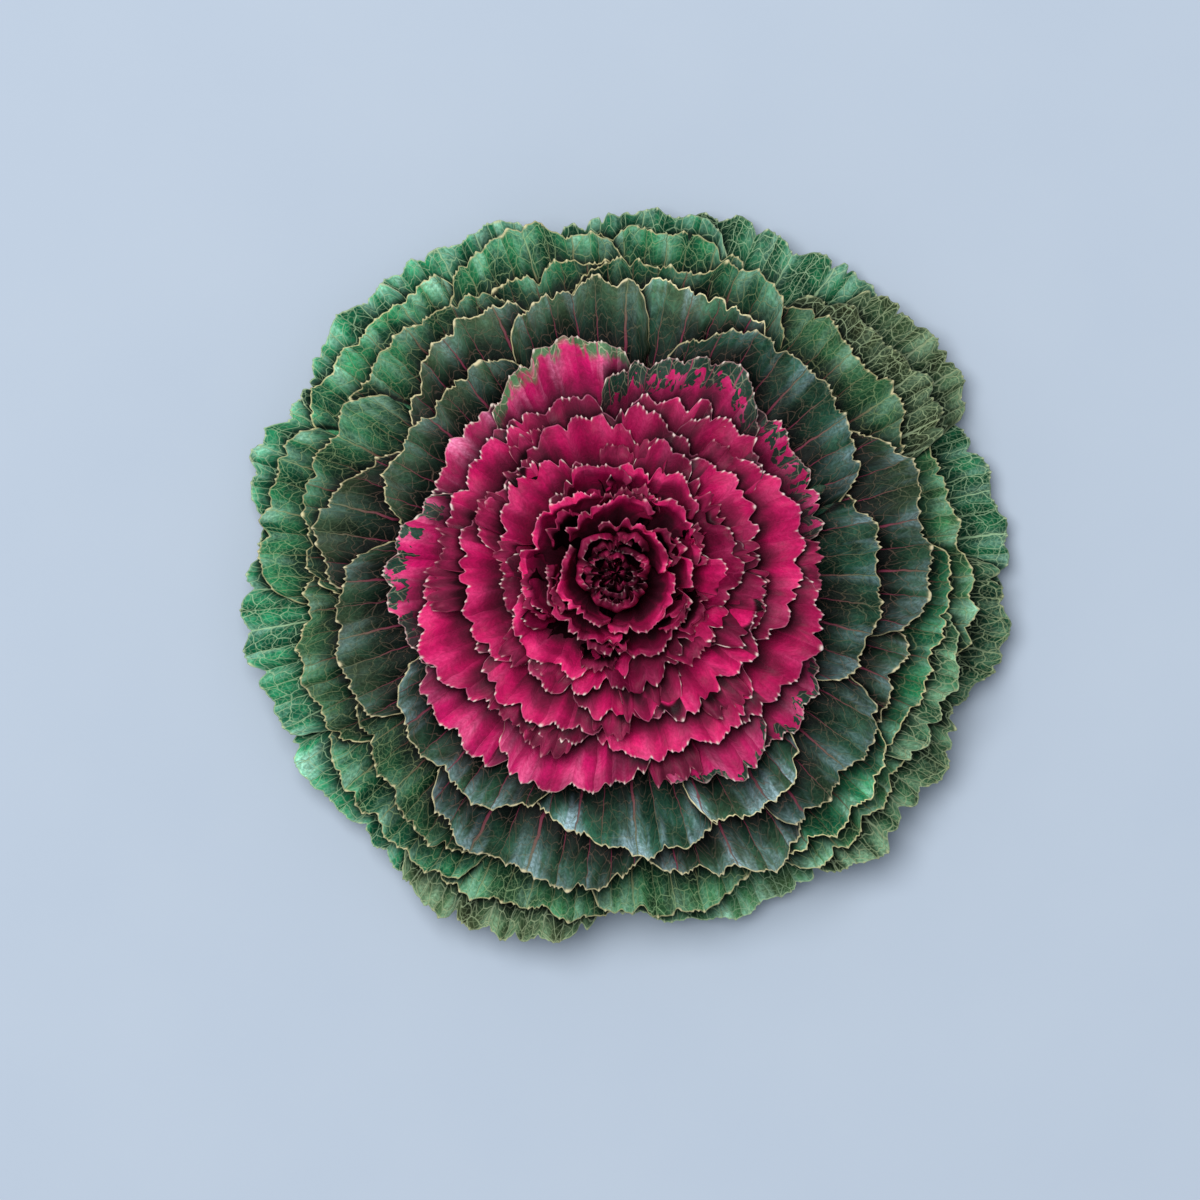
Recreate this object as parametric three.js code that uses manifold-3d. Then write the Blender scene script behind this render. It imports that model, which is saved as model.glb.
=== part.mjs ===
import * as THREE from 'three';
import { mergeVertices } from 'three/addons/utils/BufferGeometryUtils.js';
import Module from 'manifold-3d';

// An ornamental kale: a flat rosette of frilled leaves round a short cut stump, with a
// closed heart of curled leaves on top. Millimetres, +Z up. The origin is the centre of
// the stump's cut face, which rests on the ground. Angles in the tables are degrees
// counter-clockwise from +X, seen from above.

// Stump
const STUMP_BASE_RADIUS = 16;
const STUMP_TOP_RADIUS = 11;
const STUMP_HEIGHT = 57;
const STUMP_CUT_BEVEL = 0.8;
const STUMP_SIDES = 20;
const STUMP_RINGS = 7;
const SCAR_RELIEF = 0.35;

// Leaf blades
const BLADE_THICKNESS = 0.9;
const ROOT_GAP = 0.35;
const ROOT_SPREAD = 0.5;
const FULL_SPREAD_AT = 0.6;
const CORNER_DROP = 0.24;
const CORNER_POWER = 6;
const BLADE_ROWS = [0, 0.5, 0.82, 1];

// Lobes along a blade's margin
const OUTER_LOBE_WIDTH = 14;
const INNER_LOBE_WIDTH = 12;
const OUTER_LOBE_DEPTH = 1.7;
const INNER_LOBE_DEPTH = 1.3;
const LOBE_VARIATION = 0.45;

// Waves, which grow from nothing at the root to their full height at the margin
const BROAD_WAVES = 7;
const BROAD_WAVE_HEIGHT = 2.6;
const BROAD_WAVE_DRIFT = 8;
const FINE_WAVES = 19;
const FINE_WAVE_HEIGHT = 1.5;
const FINE_WAVE_DRIFT = 15;
const CURL_WAVES = 11;
const CURL_WAVE_DEPTH = 0.9;
const CURL_WAVE_DRIFT = 10;

// A blade rises faster at its root than at its margin, by this share of its climb, and its
// last stretch bends down.
const FLARE = 0.5;
const DROOP_FROM = 0.78;
const OUTER_DROOP = 2.2;
const INNER_DROOP = 1.2;

// How the rosette changes from its lowest leaf, level 0, through its highest free leaf,
// level 1, to the innermost curls of the heart, past level 2. Every leaf of a level
// follows the same profile, so that the leaves lie over each other without touching.
const STATIONS = [
  { level: 0.0, rootHeight: 7, marginRadius: 150, marginHeight: 12, arch: 7 },
  { level: 0.25, rootHeight: 19, marginRadius: 141, marginHeight: 31, arch: 6 },
  { level: 0.55, rootHeight: 34, marginRadius: 116, marginHeight: 56, arch: 5 },
  { level: 0.8, rootHeight: 46, marginRadius: 94, marginHeight: 75, arch: 5 },
  { level: 1.0, rootHeight: 56, marginRadius: 80, marginHeight: 88, arch: 5 },
  { level: 1.3, rootHeight: 63, marginRadius: 69, marginHeight: 96, arch: 5 },
  { level: 1.55, rootHeight: 67, marginRadius: 56, marginHeight: 100, arch: 5 },
  { level: 1.77, rootHeight: 70, marginRadius: 42, marginHeight: 102, arch: 4 },
  { level: 2.0, rootHeight: 74, marginRadius: 25, marginHeight: 102, arch: 2 },
  { level: 2.15, rootHeight: 76, marginRadius: 13, marginHeight: 100, arch: 1 },
  { level: 2.3, rootHeight: 77, marginRadius: 5, marginHeight: 97, arch: 0 },
];

// Heart
const CORE_RADIUS = 10.4;
const CORE_BOTTOM = STUMP_HEIGHT + 0.3;
const CORE_SHOULDER = 74;
const CORE_TOP = 82;
const CORE_SIDES = 20;
const CORE_ROUNDING_STEPS = 4;
const CORE_TURN = 0.071;
const HEART_TURN_STEP = 0.0317;
const WELD_DISTANCE = 0.005;
const HEART_ROOT_RADIUS = 8.6;
const CURL_ROOT_SHARE = 0.55;
const HEART_ROWS = [0, 0.55, 1];

// Finishes
const GREEN = { color: 0x4f8263, roughness: 0.55 };
const NETTED = { color: 0x586b54, roughness: 0.6 };
const DARK = { color: 0x3a4b4c, roughness: 0.5 };
const MIXED = { color: 0x8e2452, roughness: 0.5 };
const MAGENTA = { color: 0xb51f63, roughness: 0.45 };
const CUT_STEM = { color: 0xb7bd92, roughness: 0.75 };

// The free leaves from the lowest to the highest, as
// [name, finish, centre angle, half width in degrees, margin radii in mm].
// The radii run along the margin from the leaf's clockwise side to the other one.
const FREE_LEAVES = [
  ['outer_leaf_1', GREEN, 12.5, 17, [150, 154, 152, 147, 143]],
  ['outer_leaf_3', GREEN, 61, 18, [147, 149, 142, 148, 142]],
  ['outer_leaf_5', GREEN, 119, 16, [142, 145, 144, 146, 143]],
  ['outer_leaf_7', GREEN, 160, 12, [142, 147, 149, 147, 143]],
  ['outer_leaf_9', GREEN, 224, 18, [143, 145, 140, 143, 140]],
  ['outer_leaf_11', GREEN, 287, 18, [132, 136, 141, 142, 140]],
  ['outer_leaf_13', NETTED, 348, 15, [143, 150, 155, 151, 146]],
  ['outer_leaf_2', NETTED, 36.5, 13, [150, 156, 155, 152, 148]],
  ['outer_leaf_4', GREEN, 86, 15, [140, 142, 142, 142, 140]],
  ['outer_leaf_6', GREEN, 140, 13, [145, 147, 148, 143, 140]],
  ['outer_leaf_8', GREEN, 189, 19, [141, 143, 147, 145, 141]],
  ['outer_leaf_10', NETTED, 250, 17, [145, 149, 148, 146, 140]],
  ['outer_leaf_12', NETTED, 321, 19, [145, 149, 143, 148, 146]],

  ['green_leaf_2', GREEN, 81, 14, [130, 134, 135, 134, 130]],
  ['green_leaf_5', GREEN, 136, 17, [133, 137, 136, 136, 138]],
  ['green_leaf_6', GREEN, 169, 15, [135, 138, 138, 138, 135]],
  ['green_leaf_8', GREEN, 255, 17, [135, 137, 134, 135, 130]],
  ['green_leaf_10', GREEN, 317, 17, [135, 138, 137, 133, 130]],
  ['green_leaf_1', GREEN, 105, 16, [128, 134, 142, 138, 129]],
  ['green_leaf_4', GREEN, 7, 21, [139, 139, 133, 133, 125]],
  ['green_leaf_7', GREEN, 226, 17, [130, 134, 134, 136, 135]],
  ['green_leaf_9', GREEN, 281, 15, [128, 132, 134, 133, 125]],
  ['green_leaf_3', NETTED, 40, 18, [138, 142, 137, 137, 128]],
  ['green_leaf_11', NETTED, 340, 14, [134, 137, 137, 136, 132]],

  ['middle_leaf_6', GREEN, 196, 17, [119, 121, 127, 127, 124]],
  ['middle_leaf_3', GREEN, 105, 15, [120, 122, 120, 119, 115]],
  ['middle_leaf_8', GREEN, 345, 20, [122, 126, 127, 129, 128]],
  ['middle_leaf_1', GREEN, 43, 20, [122, 128, 124, 128, 115]],
  ['middle_leaf_4', GREEN, 131, 19, [118, 122, 124, 123, 121]],
  ['middle_leaf_7', GREEN, 314, 15, [126, 129, 131, 128, 123]],
  ['middle_leaf_2', GREEN, 77, 20, [122, 128, 119, 121, 118]],
  ['middle_leaf_5', GREEN, 163, 19, [121, 122, 124, 120, 118]],

  ['dark_leaf_7', DARK, 224, 20, [112, 116, 120, 126, 120]],
  ['dark_leaf_11', DARK, 339, 14, [113, 116, 114, 115, 105]],
  ['dark_leaf_9', DARK, 292, 16, [112, 118, 122, 130, 118]],
  ['dark_leaf_5', DARK, 166, 16, [97, 105, 115, 116, 111]],
  ['dark_leaf_4', DARK, 127, 18, [110, 113, 112, 107, 97]],
  ['dark_leaf_2', DARK, 74, 16, [110, 112, 113, 113, 107]],
  ['dark_leaf_8', DARK, 253, 22, [115, 120, 119, 123, 112]],
  ['dark_leaf_6', DARK, 193, 18, [100, 106, 110, 112, 109]],
  ['dark_leaf_1', DARK, 11, 21, [118, 121, 120, 120, 106]],
  ['dark_leaf_3', DARK, 99, 14, [111, 113, 111, 108, 105]],
  ['dark_leaf_10', DARK, 319, 15, [117, 118, 117, 118, 112]],

  ['dark_leaf_16', DARK, 273, 22, [95, 101, 107, 108, 101]],
  ['dark_leaf_14', DARK, 141, 24, [94, 96, 94, 96, 92]],
  ['dark_leaf_13', DARK, 359, 24, [97, 101, 101, 99, 90]],
  ['dark_leaf_15', DARK, 229, 23, [93, 101, 101, 102, 93]],
  ['dark_leaf_17', DARK, 303, 13, [101, 105, 106, 104, 98]],
  ['dark_leaf_12', DARK, 47, 26, [100, 106, 107, 106, 94]],

  ['mixed_leaf_2', MIXED, 142, 19, [81, 79, 80, 77, 74]],
  ['mixed_leaf_7', MIXED, 323, 13, [87, 90, 89, 89, 84]],
  ['mixed_leaf_8', MIXED, 33, 20, [80, 82, 82, 84, 80]],
  ['mixed_leaf_4', MIXED, 226, 17, [86, 88, 87, 88, 82]],
  ['mixed_leaf_1', MIXED, 106, 19, [82, 90, 91, 86, 81]],
  ['mixed_leaf_3', MIXED, 182, 23, [78, 83, 88, 85, 81]],
  ['mixed_leaf_6', MIXED, 298, 16, [80, 84, 88, 91, 83]],
  ['mixed_leaf_9', MIXED, 70, 20, [85, 91, 86, 81, 78]],
  ['mixed_leaf_5', MIXED, 258, 19, [85, 87, 84, 81, 77]],
];

// The heart's leaves from the lowest to the innermost curl, as
// [centre angle, half width in degrees, margin radii in mm].
const HEART_LEAVES = [
  [334, 22, [76, 76, 80, 81, 75]],
  [206, 23, [72, 77, 80, 74, 68]],
  [68, 13, [69, 72, 70, 68, 68]],
  [243, 14, [67, 69, 69, 69, 66]],
  [115, 16, [68, 69, 67, 70, 72]],
  [293, 22, [69, 72, 70, 75, 70]],
  [48, 13, [68, 71, 72, 70, 68]],
  [149, 21, [68, 69, 66, 68, 63]],
  [11, 26, [67, 69, 71, 72, 67]],

  [236, 25, [60, 64, 65, 62, 61]],
  [79, 20, [56, 58, 63, 61, 58]],
  [187, 26, [60, 60, 58, 59, 56]],
  [315, 26, [59, 61, 57, 60, 55]],
  [147, 17, [54, 55, 54, 55, 54]],
  [275, 18, [56, 54, 54, 55, 56]],
  [111, 20, [59, 60, 60, 58, 54]],
  [36, 20, [55, 57, 57, 55, 52]],
  [350, 18, [56, 57, 57, 54, 52]],

  [66, 15, [48, 50, 52, 50, 46]],
  [250, 19, [50, 51, 48, 45, 41]],
  [143, 25, [48, 50, 50, 47, 42]],
  [342, 18, [43, 45, 42, 43, 42]],
  [287, 16, [44, 46, 44, 42, 41]],
  [191, 15, [42, 43, 43, 42, 41]],
  [10, 20, [44, 46, 46, 44, 41]],
  [223, 21, [41, 44, 44, 42, 41]],

  [65, 19, [40, 42, 41, 40, 39]],
  [108, 17, [38, 40, 41, 40, 36]],
  [296, 26, [30, 31, 32, 31, 29]],
  [156, 34, [32, 34, 33, 35, 33]],
  [38, 20, [31, 32, 32, 32, 31]],
  [355, 22, [27, 27, 27, 27, 26]],
  [223, 32, [25, 26, 26, 26, 25]],
  [100, 27, [27, 27, 25, 24, 23]],

  [320, 38, [21, 22, 22, 21, 20]],
  [205, 34, [19, 20, 21, 20, 19]],
  [55, 34, [18, 19, 19, 19, 18]],
  [135, 44, [15, 16, 17, 16, 15]],
  [268, 46, [13, 14, 14, 14, 13]],
  [24, 60, [10, 11, 12, 11, 10]],
  [167, 50, [10, 10, 11, 10, 10]],
  [285, 55, [9, 9, 10, 9, 9]],
  [97, 50, [6, 7, 7, 7, 6]],
  [275, 60, [5, 6, 6, 6, 5]],
];
const HEART_FIRST_LEVEL = 1.08;
const HEART_LAST_LEVEL = 2.28;

const wasm = await Module();
wasm.setup();

// A repeatable source of numbers from 0 to 1, by the mulberry32 rule.
function seededRandom(seed) {
  let state = seed;
  return () => {
    state = (state + 0x6d2b79f5) | 0;
    let mixed = Math.imul(state ^ (state >>> 15), 1 | state);
    mixed = (mixed + Math.imul(mixed ^ (mixed >>> 7), 61 | mixed)) ^ mixed;
    return ((mixed ^ (mixed >>> 14)) >>> 0) / 4294967296;
  };
}

function profileAt(level) {
  const above = Math.max(1, STATIONS.findIndex((station) => station.level >= level));
  const low = STATIONS[above - 1];
  const high = STATIONS[above];
  const share = (level - low.level) / (high.level - low.level);
  const between = (key) => THREE.MathUtils.lerp(low[key], high[key], share);
  return {
    level,
    rootHeight: between('rootHeight'),
    marginRadius: between('marginRadius'),
    marginHeight: between('marginHeight'),
    arch: between('arch'),
  };
}

function stumpRadiusAt(height) {
  return THREE.MathUtils.lerp(STUMP_BASE_RADIUS, STUMP_TOP_RADIUS, height / STUMP_HEIGHT);
}

// Height of a level's surface at a radius, before its waves.
function surfaceHeight(profile, radius) {
  const along = (radius - profile.rootRadius) / (profile.marginRadius - profile.rootRadius);
  const climb = (profile.marginHeight - profile.rootHeight) * along * (1 + FLARE * (1 - along));
  return profile.rootHeight + climb + profile.arch * 4 * along * (1 - along);
}

// Broad and fine waves run round the whole rosette. Their phase drifts with the level, so
// that the leaf above is waved in another place but never dips into the one below.
function waveHeight(profile, angle) {
  const broad = Math.sin(BROAD_WAVES * angle + BROAD_WAVE_DRIFT * profile.level);
  const fine = Math.sin(FINE_WAVES * angle + FINE_WAVE_DRIFT * profile.level);
  return BROAD_WAVE_HEIGHT * broad + FINE_WAVE_HEIGHT * fine;
}

function catmullRom(values, place) {
  const index = Math.min(values.length - 2, Math.floor(place));
  const share = place - index;
  const at = (step) => values[THREE.MathUtils.clamp(index + step, 0, values.length - 1)];
  const slopeIn = (at(1) - at(-1)) / 2;
  const slopeOut = (at(2) - at(0)) / 2;
  const square = share * share;
  const cube = square * share;
  return (2 * cube - 3 * square + 1) * at(0) + (cube - 2 * square + share) * slopeIn
    + (3 * square - 2 * cube) * at(1) + (cube - square) * slopeOut;
}

// Margin radius across a blade, from side -1 to side 1, with its corners rounded off.
function marginRadiusAt(leaf, side) {
  const smooth = catmullRom(leaf.margin, (side + 1) / 2 * (leaf.margin.length - 1));
  return smooth * (1 - CORNER_DROP * Math.abs(side) ** CORNER_POWER);
}

// A grid of points on a blade's upper face: rows from root to margin, columns across it.
function upperFace(leaf, rows, columns) {
  const random = seededRandom(leaf.seed);
  const lobeSteps = Array.from({ length: columns + 1 }, (_, column) => {
    const outward = column % 2 === 1 ? 1 : -1;
    return outward * leaf.lobeDepth * (1 + LOBE_VARIATION * (2 * random() - 1));
  });
  return rows.map((along) => {
    const spread = THREE.MathUtils.lerp(ROOT_SPREAD, 1, Math.min(1, along / FULL_SPREAD_AT));
    return lobeSteps.map((lobeStep, column) => {
      const side = 2 * column / columns - 1;
      const margin = marginRadiusAt(leaf, side) + (along === 1 ? lobeStep : 0);
      const angle = THREE.MathUtils.degToRad(leaf.centre + side * leaf.halfWidth * spread);
      const radius = THREE.MathUtils.lerp(leaf.profile.rootRadius, margin, along);
      const bend = Math.max(0, along - DROOP_FROM) / (1 - DROOP_FROM);
      return { angle, radius, droop: leaf.droop * bend ** 2 };
    });
  });
}

// One face of a blade, moved off the middle surface by half its thickness.
function bladePoint(profile, { angle, radius, droop }, faceSide) {
  const step = 0.5;
  const rise = surfaceHeight(profile, radius + step) - surfaceHeight(profile, radius - step);
  const slope = Math.atan2(rise, 2 * step);
  const reach = profile.marginRadius - profile.rootRadius;
  const grown = Math.min(1, (radius - profile.rootRadius) / reach) ** 2;
  const offset = faceSide * BLADE_THICKNESS / 2;
  const curl = Math.sin(CURL_WAVES * angle + CURL_WAVE_DRIFT * profile.level);
  const pushOut = grown * CURL_WAVE_DEPTH * curl * Math.sin(slope);
  const outward = radius - offset * Math.sin(slope) + pushOut;
  const height = surfaceHeight(profile, radius) - droop + offset * Math.cos(slope)
    + grown * waveHeight(profile, angle) * Math.cos(slope);
  return new THREE.Vector3(outward * Math.cos(angle), outward * Math.sin(angle), height);
}

// A closed blade: the upper and the lower face split into triangles alike, and a rim.
function bladeGeometry(leaf, rows, columns) {
  const face = upperFace(leaf, rows, columns);
  const width = columns + 1;
  const points = [1, -1].flatMap((faceSide) => face.flatMap(
    (row) => row.map((place) => bladePoint(leaf.profile, place, faceSide)),
  ));
  const lower = rows.length * width;
  const indices = [];
  for (let row = 0; row < rows.length - 1; row++) {
    for (let column = 0; column < columns; column++) {
      const a = row * width + column;
      const b = a + width;
      indices.push(a, b, b + 1, a, b + 1, a + 1);
      indices.push(lower + a, lower + b + 1, lower + b, lower + a, lower + a + 1, lower + b + 1);
    }
  }
  const last = (rows.length - 1) * width;
  const rim = [];
  for (let row = 0; row < rows.length - 1; row++) rim.push(row * width);
  for (let column = 0; column < columns; column++) rim.push(last + column);
  for (let row = rows.length - 1; row > 0; row--) rim.push(row * width + columns);
  for (let column = columns; column > 0; column--) rim.push(column);
  rim.forEach((from, order) => {
    const to = rim[(order + 1) % rim.length];
    indices.push(from, lower + from, lower + to, from, lower + to, to);
  });
  const geometry = new THREE.BufferGeometry().setFromPoints(points);
  geometry.setIndex(indices);
  return geometry;
}

function leafColumns(leaf, lobeWidth) {
  const middleRadius = leaf.margin[Math.floor(leaf.margin.length / 2)];
  const width = 2 * THREE.MathUtils.degToRad(leaf.halfWidth) * middleRadius;
  return 2 * Math.max(2, Math.round(width / lobeWidth));
}

function lathe(profilePoints, sides) {
  const points = profilePoints.map(([radius, height]) => new THREE.Vector2(radius, height));
  const geometry = new THREE.LatheGeometry(points, sides);
  geometry.rotateX(Math.PI / 2);
  geometry.deleteAttribute('normal');
  geometry.deleteAttribute('uv');
  return mergeVertices(geometry, 1e-4);
}

// The stump narrows upwards, with low ridges where old leaves have dropped off.
function stumpGeometry() {
  const outline = [
    [0, 0],
    [STUMP_BASE_RADIUS - STUMP_CUT_BEVEL, 0],
    [STUMP_BASE_RADIUS, STUMP_CUT_BEVEL],
  ];
  for (let ring = 1; ring < STUMP_RINGS; ring++) {
    const height = STUMP_HEIGHT * ring / STUMP_RINGS;
    const relief = ring % 2 === 0 ? 0 : SCAR_RELIEF;
    outline.push([stumpRadiusAt(height) - relief, height]);
  }
  outline.push([STUMP_TOP_RADIUS, STUMP_HEIGHT], [0, STUMP_HEIGHT]);
  return lathe(outline, STUMP_SIDES);
}

// The heart's core is a short stem with a rounded top. It is turned a little, so that no
// leaf crosses it exactly along one of its edges.
function coreGeometry() {
  const outline = [[0, CORE_BOTTOM], [CORE_RADIUS, CORE_BOTTOM], [CORE_RADIUS, CORE_SHOULDER]];
  for (let step = 1; step < CORE_ROUNDING_STEPS; step++) {
    const turn = Math.PI / 2 * step / CORE_ROUNDING_STEPS;
    const height = CORE_SHOULDER + (CORE_TOP - CORE_SHOULDER) * Math.sin(turn);
    outline.push([CORE_RADIUS * Math.cos(turn), height]);
  }
  outline.push([0, CORE_TOP]);
  return lathe(outline, CORE_SIDES).rotateZ(CORE_TURN);
}

function toManifold(geometry) {
  return new wasm.Manifold(new wasm.Mesh({
    numProp: 3,
    vertProperties: new Float32Array(geometry.attributes.position.array),
    triVerts: new Uint32Array(geometry.index.array),
  }));
}

// The joined solid as a geometry. Corners closer than the weld distance become one, and the
// triangles that this flattens are dropped.
function fromManifold(solid) {
  const mesh = solid.getMesh();
  const geometry = new THREE.BufferGeometry();
  geometry.setAttribute('position', new THREE.BufferAttribute(mesh.vertProperties, 3));
  geometry.setIndex(new THREE.BufferAttribute(mesh.triVerts, 1));
  const welded = mergeVertices(geometry, WELD_DISTANCE);
  const corners = Array.from(welded.index.array);
  const kept = [];
  for (let start = 0; start < corners.length; start += 3) {
    const [a, b, c] = corners.slice(start, start + 3);
    if (a !== b && b !== c && c !== a) kept.push(a, b, c);
  }
  welded.setIndex(kept);
  return welded;
}

// The heart is the core with its curled leaves, whose roots are sunk in it. Each leaf is
// turned by a slightly larger odd angle, so that no two have a side in the same plane.
function heartGeometry() {
  const blades = HEART_LEAVES.map(([centre, halfWidth, margin], index) => {
    const share = index / (HEART_LEAVES.length - 1);
    const level = THREE.MathUtils.lerp(HEART_FIRST_LEVEL, HEART_LAST_LEVEL, share);
    const profile = profileAt(level);
    profile.rootRadius = Math.min(HEART_ROOT_RADIUS, CURL_ROOT_SHARE * profile.marginRadius);
    const leaf = { profile, halfWidth, margin, droop: 0, lobeDepth: INNER_LOBE_DEPTH };
    leaf.centre = centre + HEART_TURN_STEP * index;
    leaf.seed = 500 + index;
    return toManifold(bladeGeometry(leaf, HEART_ROWS, leafColumns(leaf, INNER_LOBE_WIDTH)));
  });
  const solid = blades.reduce((sum, blade) => sum.add(blade), toManifold(coreGeometry()));
  return fromManifold(solid);
}

function freeLeafGeometry([, finish, centre, halfWidth, margin], index) {
  const profile = profileAt(index / (FREE_LEAVES.length - 1));
  profile.rootRadius = stumpRadiusAt(profile.rootHeight) + ROOT_GAP;
  const small = finish === MIXED;
  const leaf = { profile, centre, halfWidth, margin, seed: 100 + index };
  leaf.lobeDepth = small ? INNER_LOBE_DEPTH : OUTER_LOBE_DEPTH;
  leaf.droop = small ? INNER_DROOP : OUTER_DROOP;
  const lobeWidth = small ? INNER_LOBE_WIDTH : OUTER_LOBE_WIDTH;
  return bladeGeometry(leaf, BLADE_ROWS, leafColumns(leaf, lobeWidth));
}

function namedMesh(name, geometry, finish) {
  geometry.computeVertexNormals();
  const mesh = new THREE.Mesh(geometry, new THREE.MeshStandardMaterial(finish));
  mesh.name = name;
  return mesh;
}

const kale = new THREE.Group();
kale.add(namedMesh('stump', stumpGeometry(), CUT_STEM));
FREE_LEAVES.forEach((leaf, index) => {
  kale.add(namedMesh(leaf[0], freeLeafGeometry(leaf, index), leaf[1]));
});
kale.add(namedMesh('heart', heartGeometry(), MAGENTA));

export default kale;
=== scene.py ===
"""An ornamental kale: frilled green, dark and magenta leaves round a short cut stump."""
import logging
import math
from dataclasses import dataclass, field
from enum import Enum

import bpy
import numpy as np
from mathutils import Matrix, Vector


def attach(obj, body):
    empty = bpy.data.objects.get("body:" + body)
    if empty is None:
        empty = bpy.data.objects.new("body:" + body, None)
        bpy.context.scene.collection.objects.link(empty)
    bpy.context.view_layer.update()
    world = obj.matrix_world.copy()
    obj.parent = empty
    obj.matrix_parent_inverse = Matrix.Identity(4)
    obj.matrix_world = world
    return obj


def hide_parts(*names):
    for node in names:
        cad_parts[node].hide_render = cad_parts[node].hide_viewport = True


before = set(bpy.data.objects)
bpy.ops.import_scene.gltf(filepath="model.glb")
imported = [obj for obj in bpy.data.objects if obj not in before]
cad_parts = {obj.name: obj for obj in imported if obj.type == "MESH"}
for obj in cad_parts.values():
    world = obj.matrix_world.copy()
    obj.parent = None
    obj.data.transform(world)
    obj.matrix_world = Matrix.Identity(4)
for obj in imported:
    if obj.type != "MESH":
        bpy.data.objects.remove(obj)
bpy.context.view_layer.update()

log = logging.getLogger("kale")

MM = 0.001
SKIN_GLOSS = 0.08
TAU = 2 * math.pi

# Stump, in millimetres
STUMP_BASE_RADIUS = 16
STUMP_TOP_RADIUS = 11
STUMP_HEIGHT = 57

# Blades, in millimetres
BLADE_THICKNESS = 0.9
MARGIN_THICKNESS = 0.55
ROOT_GAP = 0.35
ROOT_SUNK = 1.2
ROOT_SPREAD = 0.5
FULL_SPREAD_AT = 0.6
CORNER_DROP = 0.26
CORNER_FROM = 0.82
CORNER_POWER = 2.4
CORNER_DIP = 3.2
CORNER_SEEN = 1.2
FLARE = 0.5
STEEPEST = (-0.2, 1.35)
DROOP_FROM = 0.78
LIFT_PUSH = 0.4

# How far inside its margin each row of a blade's grid lies, in millimetres
ROW_INSETS = np.array([
    0, 0.45, 1.0, 1.7, 2.6, 3.8, 5.2, 7, 9, 11.5, 14.5, 18, 22, 27, 34, 44, 58, 76, 98,
])
COLUMN_STEP = 0.5
TURN_STEPS = 1440

# Waves that run round the whole rosette, in millimetres
BROAD_WAVES, BROAD_WAVE_HEIGHT, BROAD_WAVE_DRIFT = 7, 2.6, 8
FINE_WAVES, FINE_WAVE_HEIGHT, FINE_WAVE_DRIFT = 19, 1.5, 15
CURL_WAVES, CURL_WAVE_DEPTH, CURL_WAVE_DRIFT = 11, 0.9, 10

# How the rosette changes from its lowest leaf, level 0, to the highest free leaf, level 1,
# and on to the innermost curls of the heart: level, height of the root, radius and height
# of the margin, and rise of the arch between them.
STATIONS = np.array([
    [0.0, 7, 150, 12, 7],
    [0.25, 19, 141, 31, 6],
    [0.55, 34, 116, 56, 5],
    [0.8, 46, 94, 75, 5],
    [1.0, 56, 80, 88, 5],
    [1.3, 63, 69, 96, 5],
    [1.55, 67, 56, 100, 5],
    [1.77, 70, 42, 102, 4],
    [2.0, 74, 25, 102, 2],
    [2.15, 76, 13, 100, 1],
    [2.3, 77, 5, 97, 0],
])

# Heart
CORE_RADIUS = 10.4
CORE_BOTTOM = STUMP_HEIGHT + 0.3
CORE_SHOULDER = 74
CORE_TOP = 82
HEART_TURN_STEP = 0.0317
HEART_ROOT_RADIUS = 8.6
CURL_ROOT_SHARE = 0.55
HEART_FIRST_LEVEL = 1.08
HEART_LAST_LEVEL = 2.28
HEART_TONE_LEVELS = (1.9, 2.2)
HEART_TONES = (1.0, 0.85)

# Heart leaves that lie in their neighbours' shade or catch more light: place in the list of
# heart leaves, and brightness.
HEART_SHADES = {
    0: 0.8, 1: 1.1, 2: 1.2, 4: 0.8, 5: 1.25, 6: 0.62, 10: 0.55, 12: 1.1, 15: 0.75, 17: 0.48,
    18: 0.66, 22: 0.4, 23: 0.36, 24: 0.4, 25: 1.2, 26: 1.0, 27: 0.66, 28: 0.6, 29: 1.35,
    33: 1.2, 34: 1.6, 35: 1.5, 36: 1.6, 37: 1.3, 38: 1.3, 39: 2.0, 40: 1.8, 41: 1.4, 42: 1.4,
    43: 1.4,
}

# Leaves between the first two levels start to drop into a throat behind their margin, and
# leaves between the last two turn from flared cones into cups with a narrow lip.
THROAT_LEVELS = (0.3, 1.1)
THROAT_DEPTH = 6
CUPPED_LEVELS = (1.55, 1.95)
CUP_LIP = 2.1
# In cups the inward distance is stretched by CUP_SHADE, so that the painted shade toward the root
# comes sooner there.
CUP_SHADE = 0.55
CUP_POWER = 4.2
SMALL_BELOW = 34

# Seeds of the first blade of each group, and the step between two blades
FREE_SEED, HEART_SEED, CURL_MARGIN_SEED, CURL_SEED, FRILL_SEED = 1000, 4000, 5000, 6000, 7000
SEED_STEP = 20
RING_SIZE = 9

FEWER_BEADS_BELOW = 52
INNER_RIM_HIDDEN = 0.36
CLOSED_LEVEL = 2.1


class Kind(Enum):
    """The sorts of leaf, from the outside of the rosette to its heart."""

    OUTER = "outer"
    NETTED = "netted"
    GREEN = "green"
    MIDDLE = "middle"
    DARK = "dark"
    MIXED = "mixed"
    HEART = "heart"
    FRILL = "frill"


GREEN_KINDS = (Kind.OUTER, Kind.NETTED, Kind.GREEN, Kind.MIDDLE, Kind.DARK)


@dataclass(frozen=True)
class LeafRow:
    """One leaf of the rosette.

    The centre and half width are degrees round the rosette; the margin's radii run from
    the clockwise side to the other, in millimetres. Tone scales the leaf's brightness:
    partly its own tone, partly painted shade or painted light where it lies in the others'
    shade or catches more light. Olive turns its green towards brown, blotch is how many
    millimetres of its rim are blotched, from dark green at blotch_light 0 to fresh green at
    1, and wax scales its bloom, which is partly waxy film and partly painted sheen.
    """

    name: str
    kind: Kind
    centre: float
    half_width: float
    margin: tuple
    tone: float = 1.0
    olive: float = 0.0
    blotch: float = 0.0
    blotch_light: float = 0.0
    wax_and_sheen: float = 1.0


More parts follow.
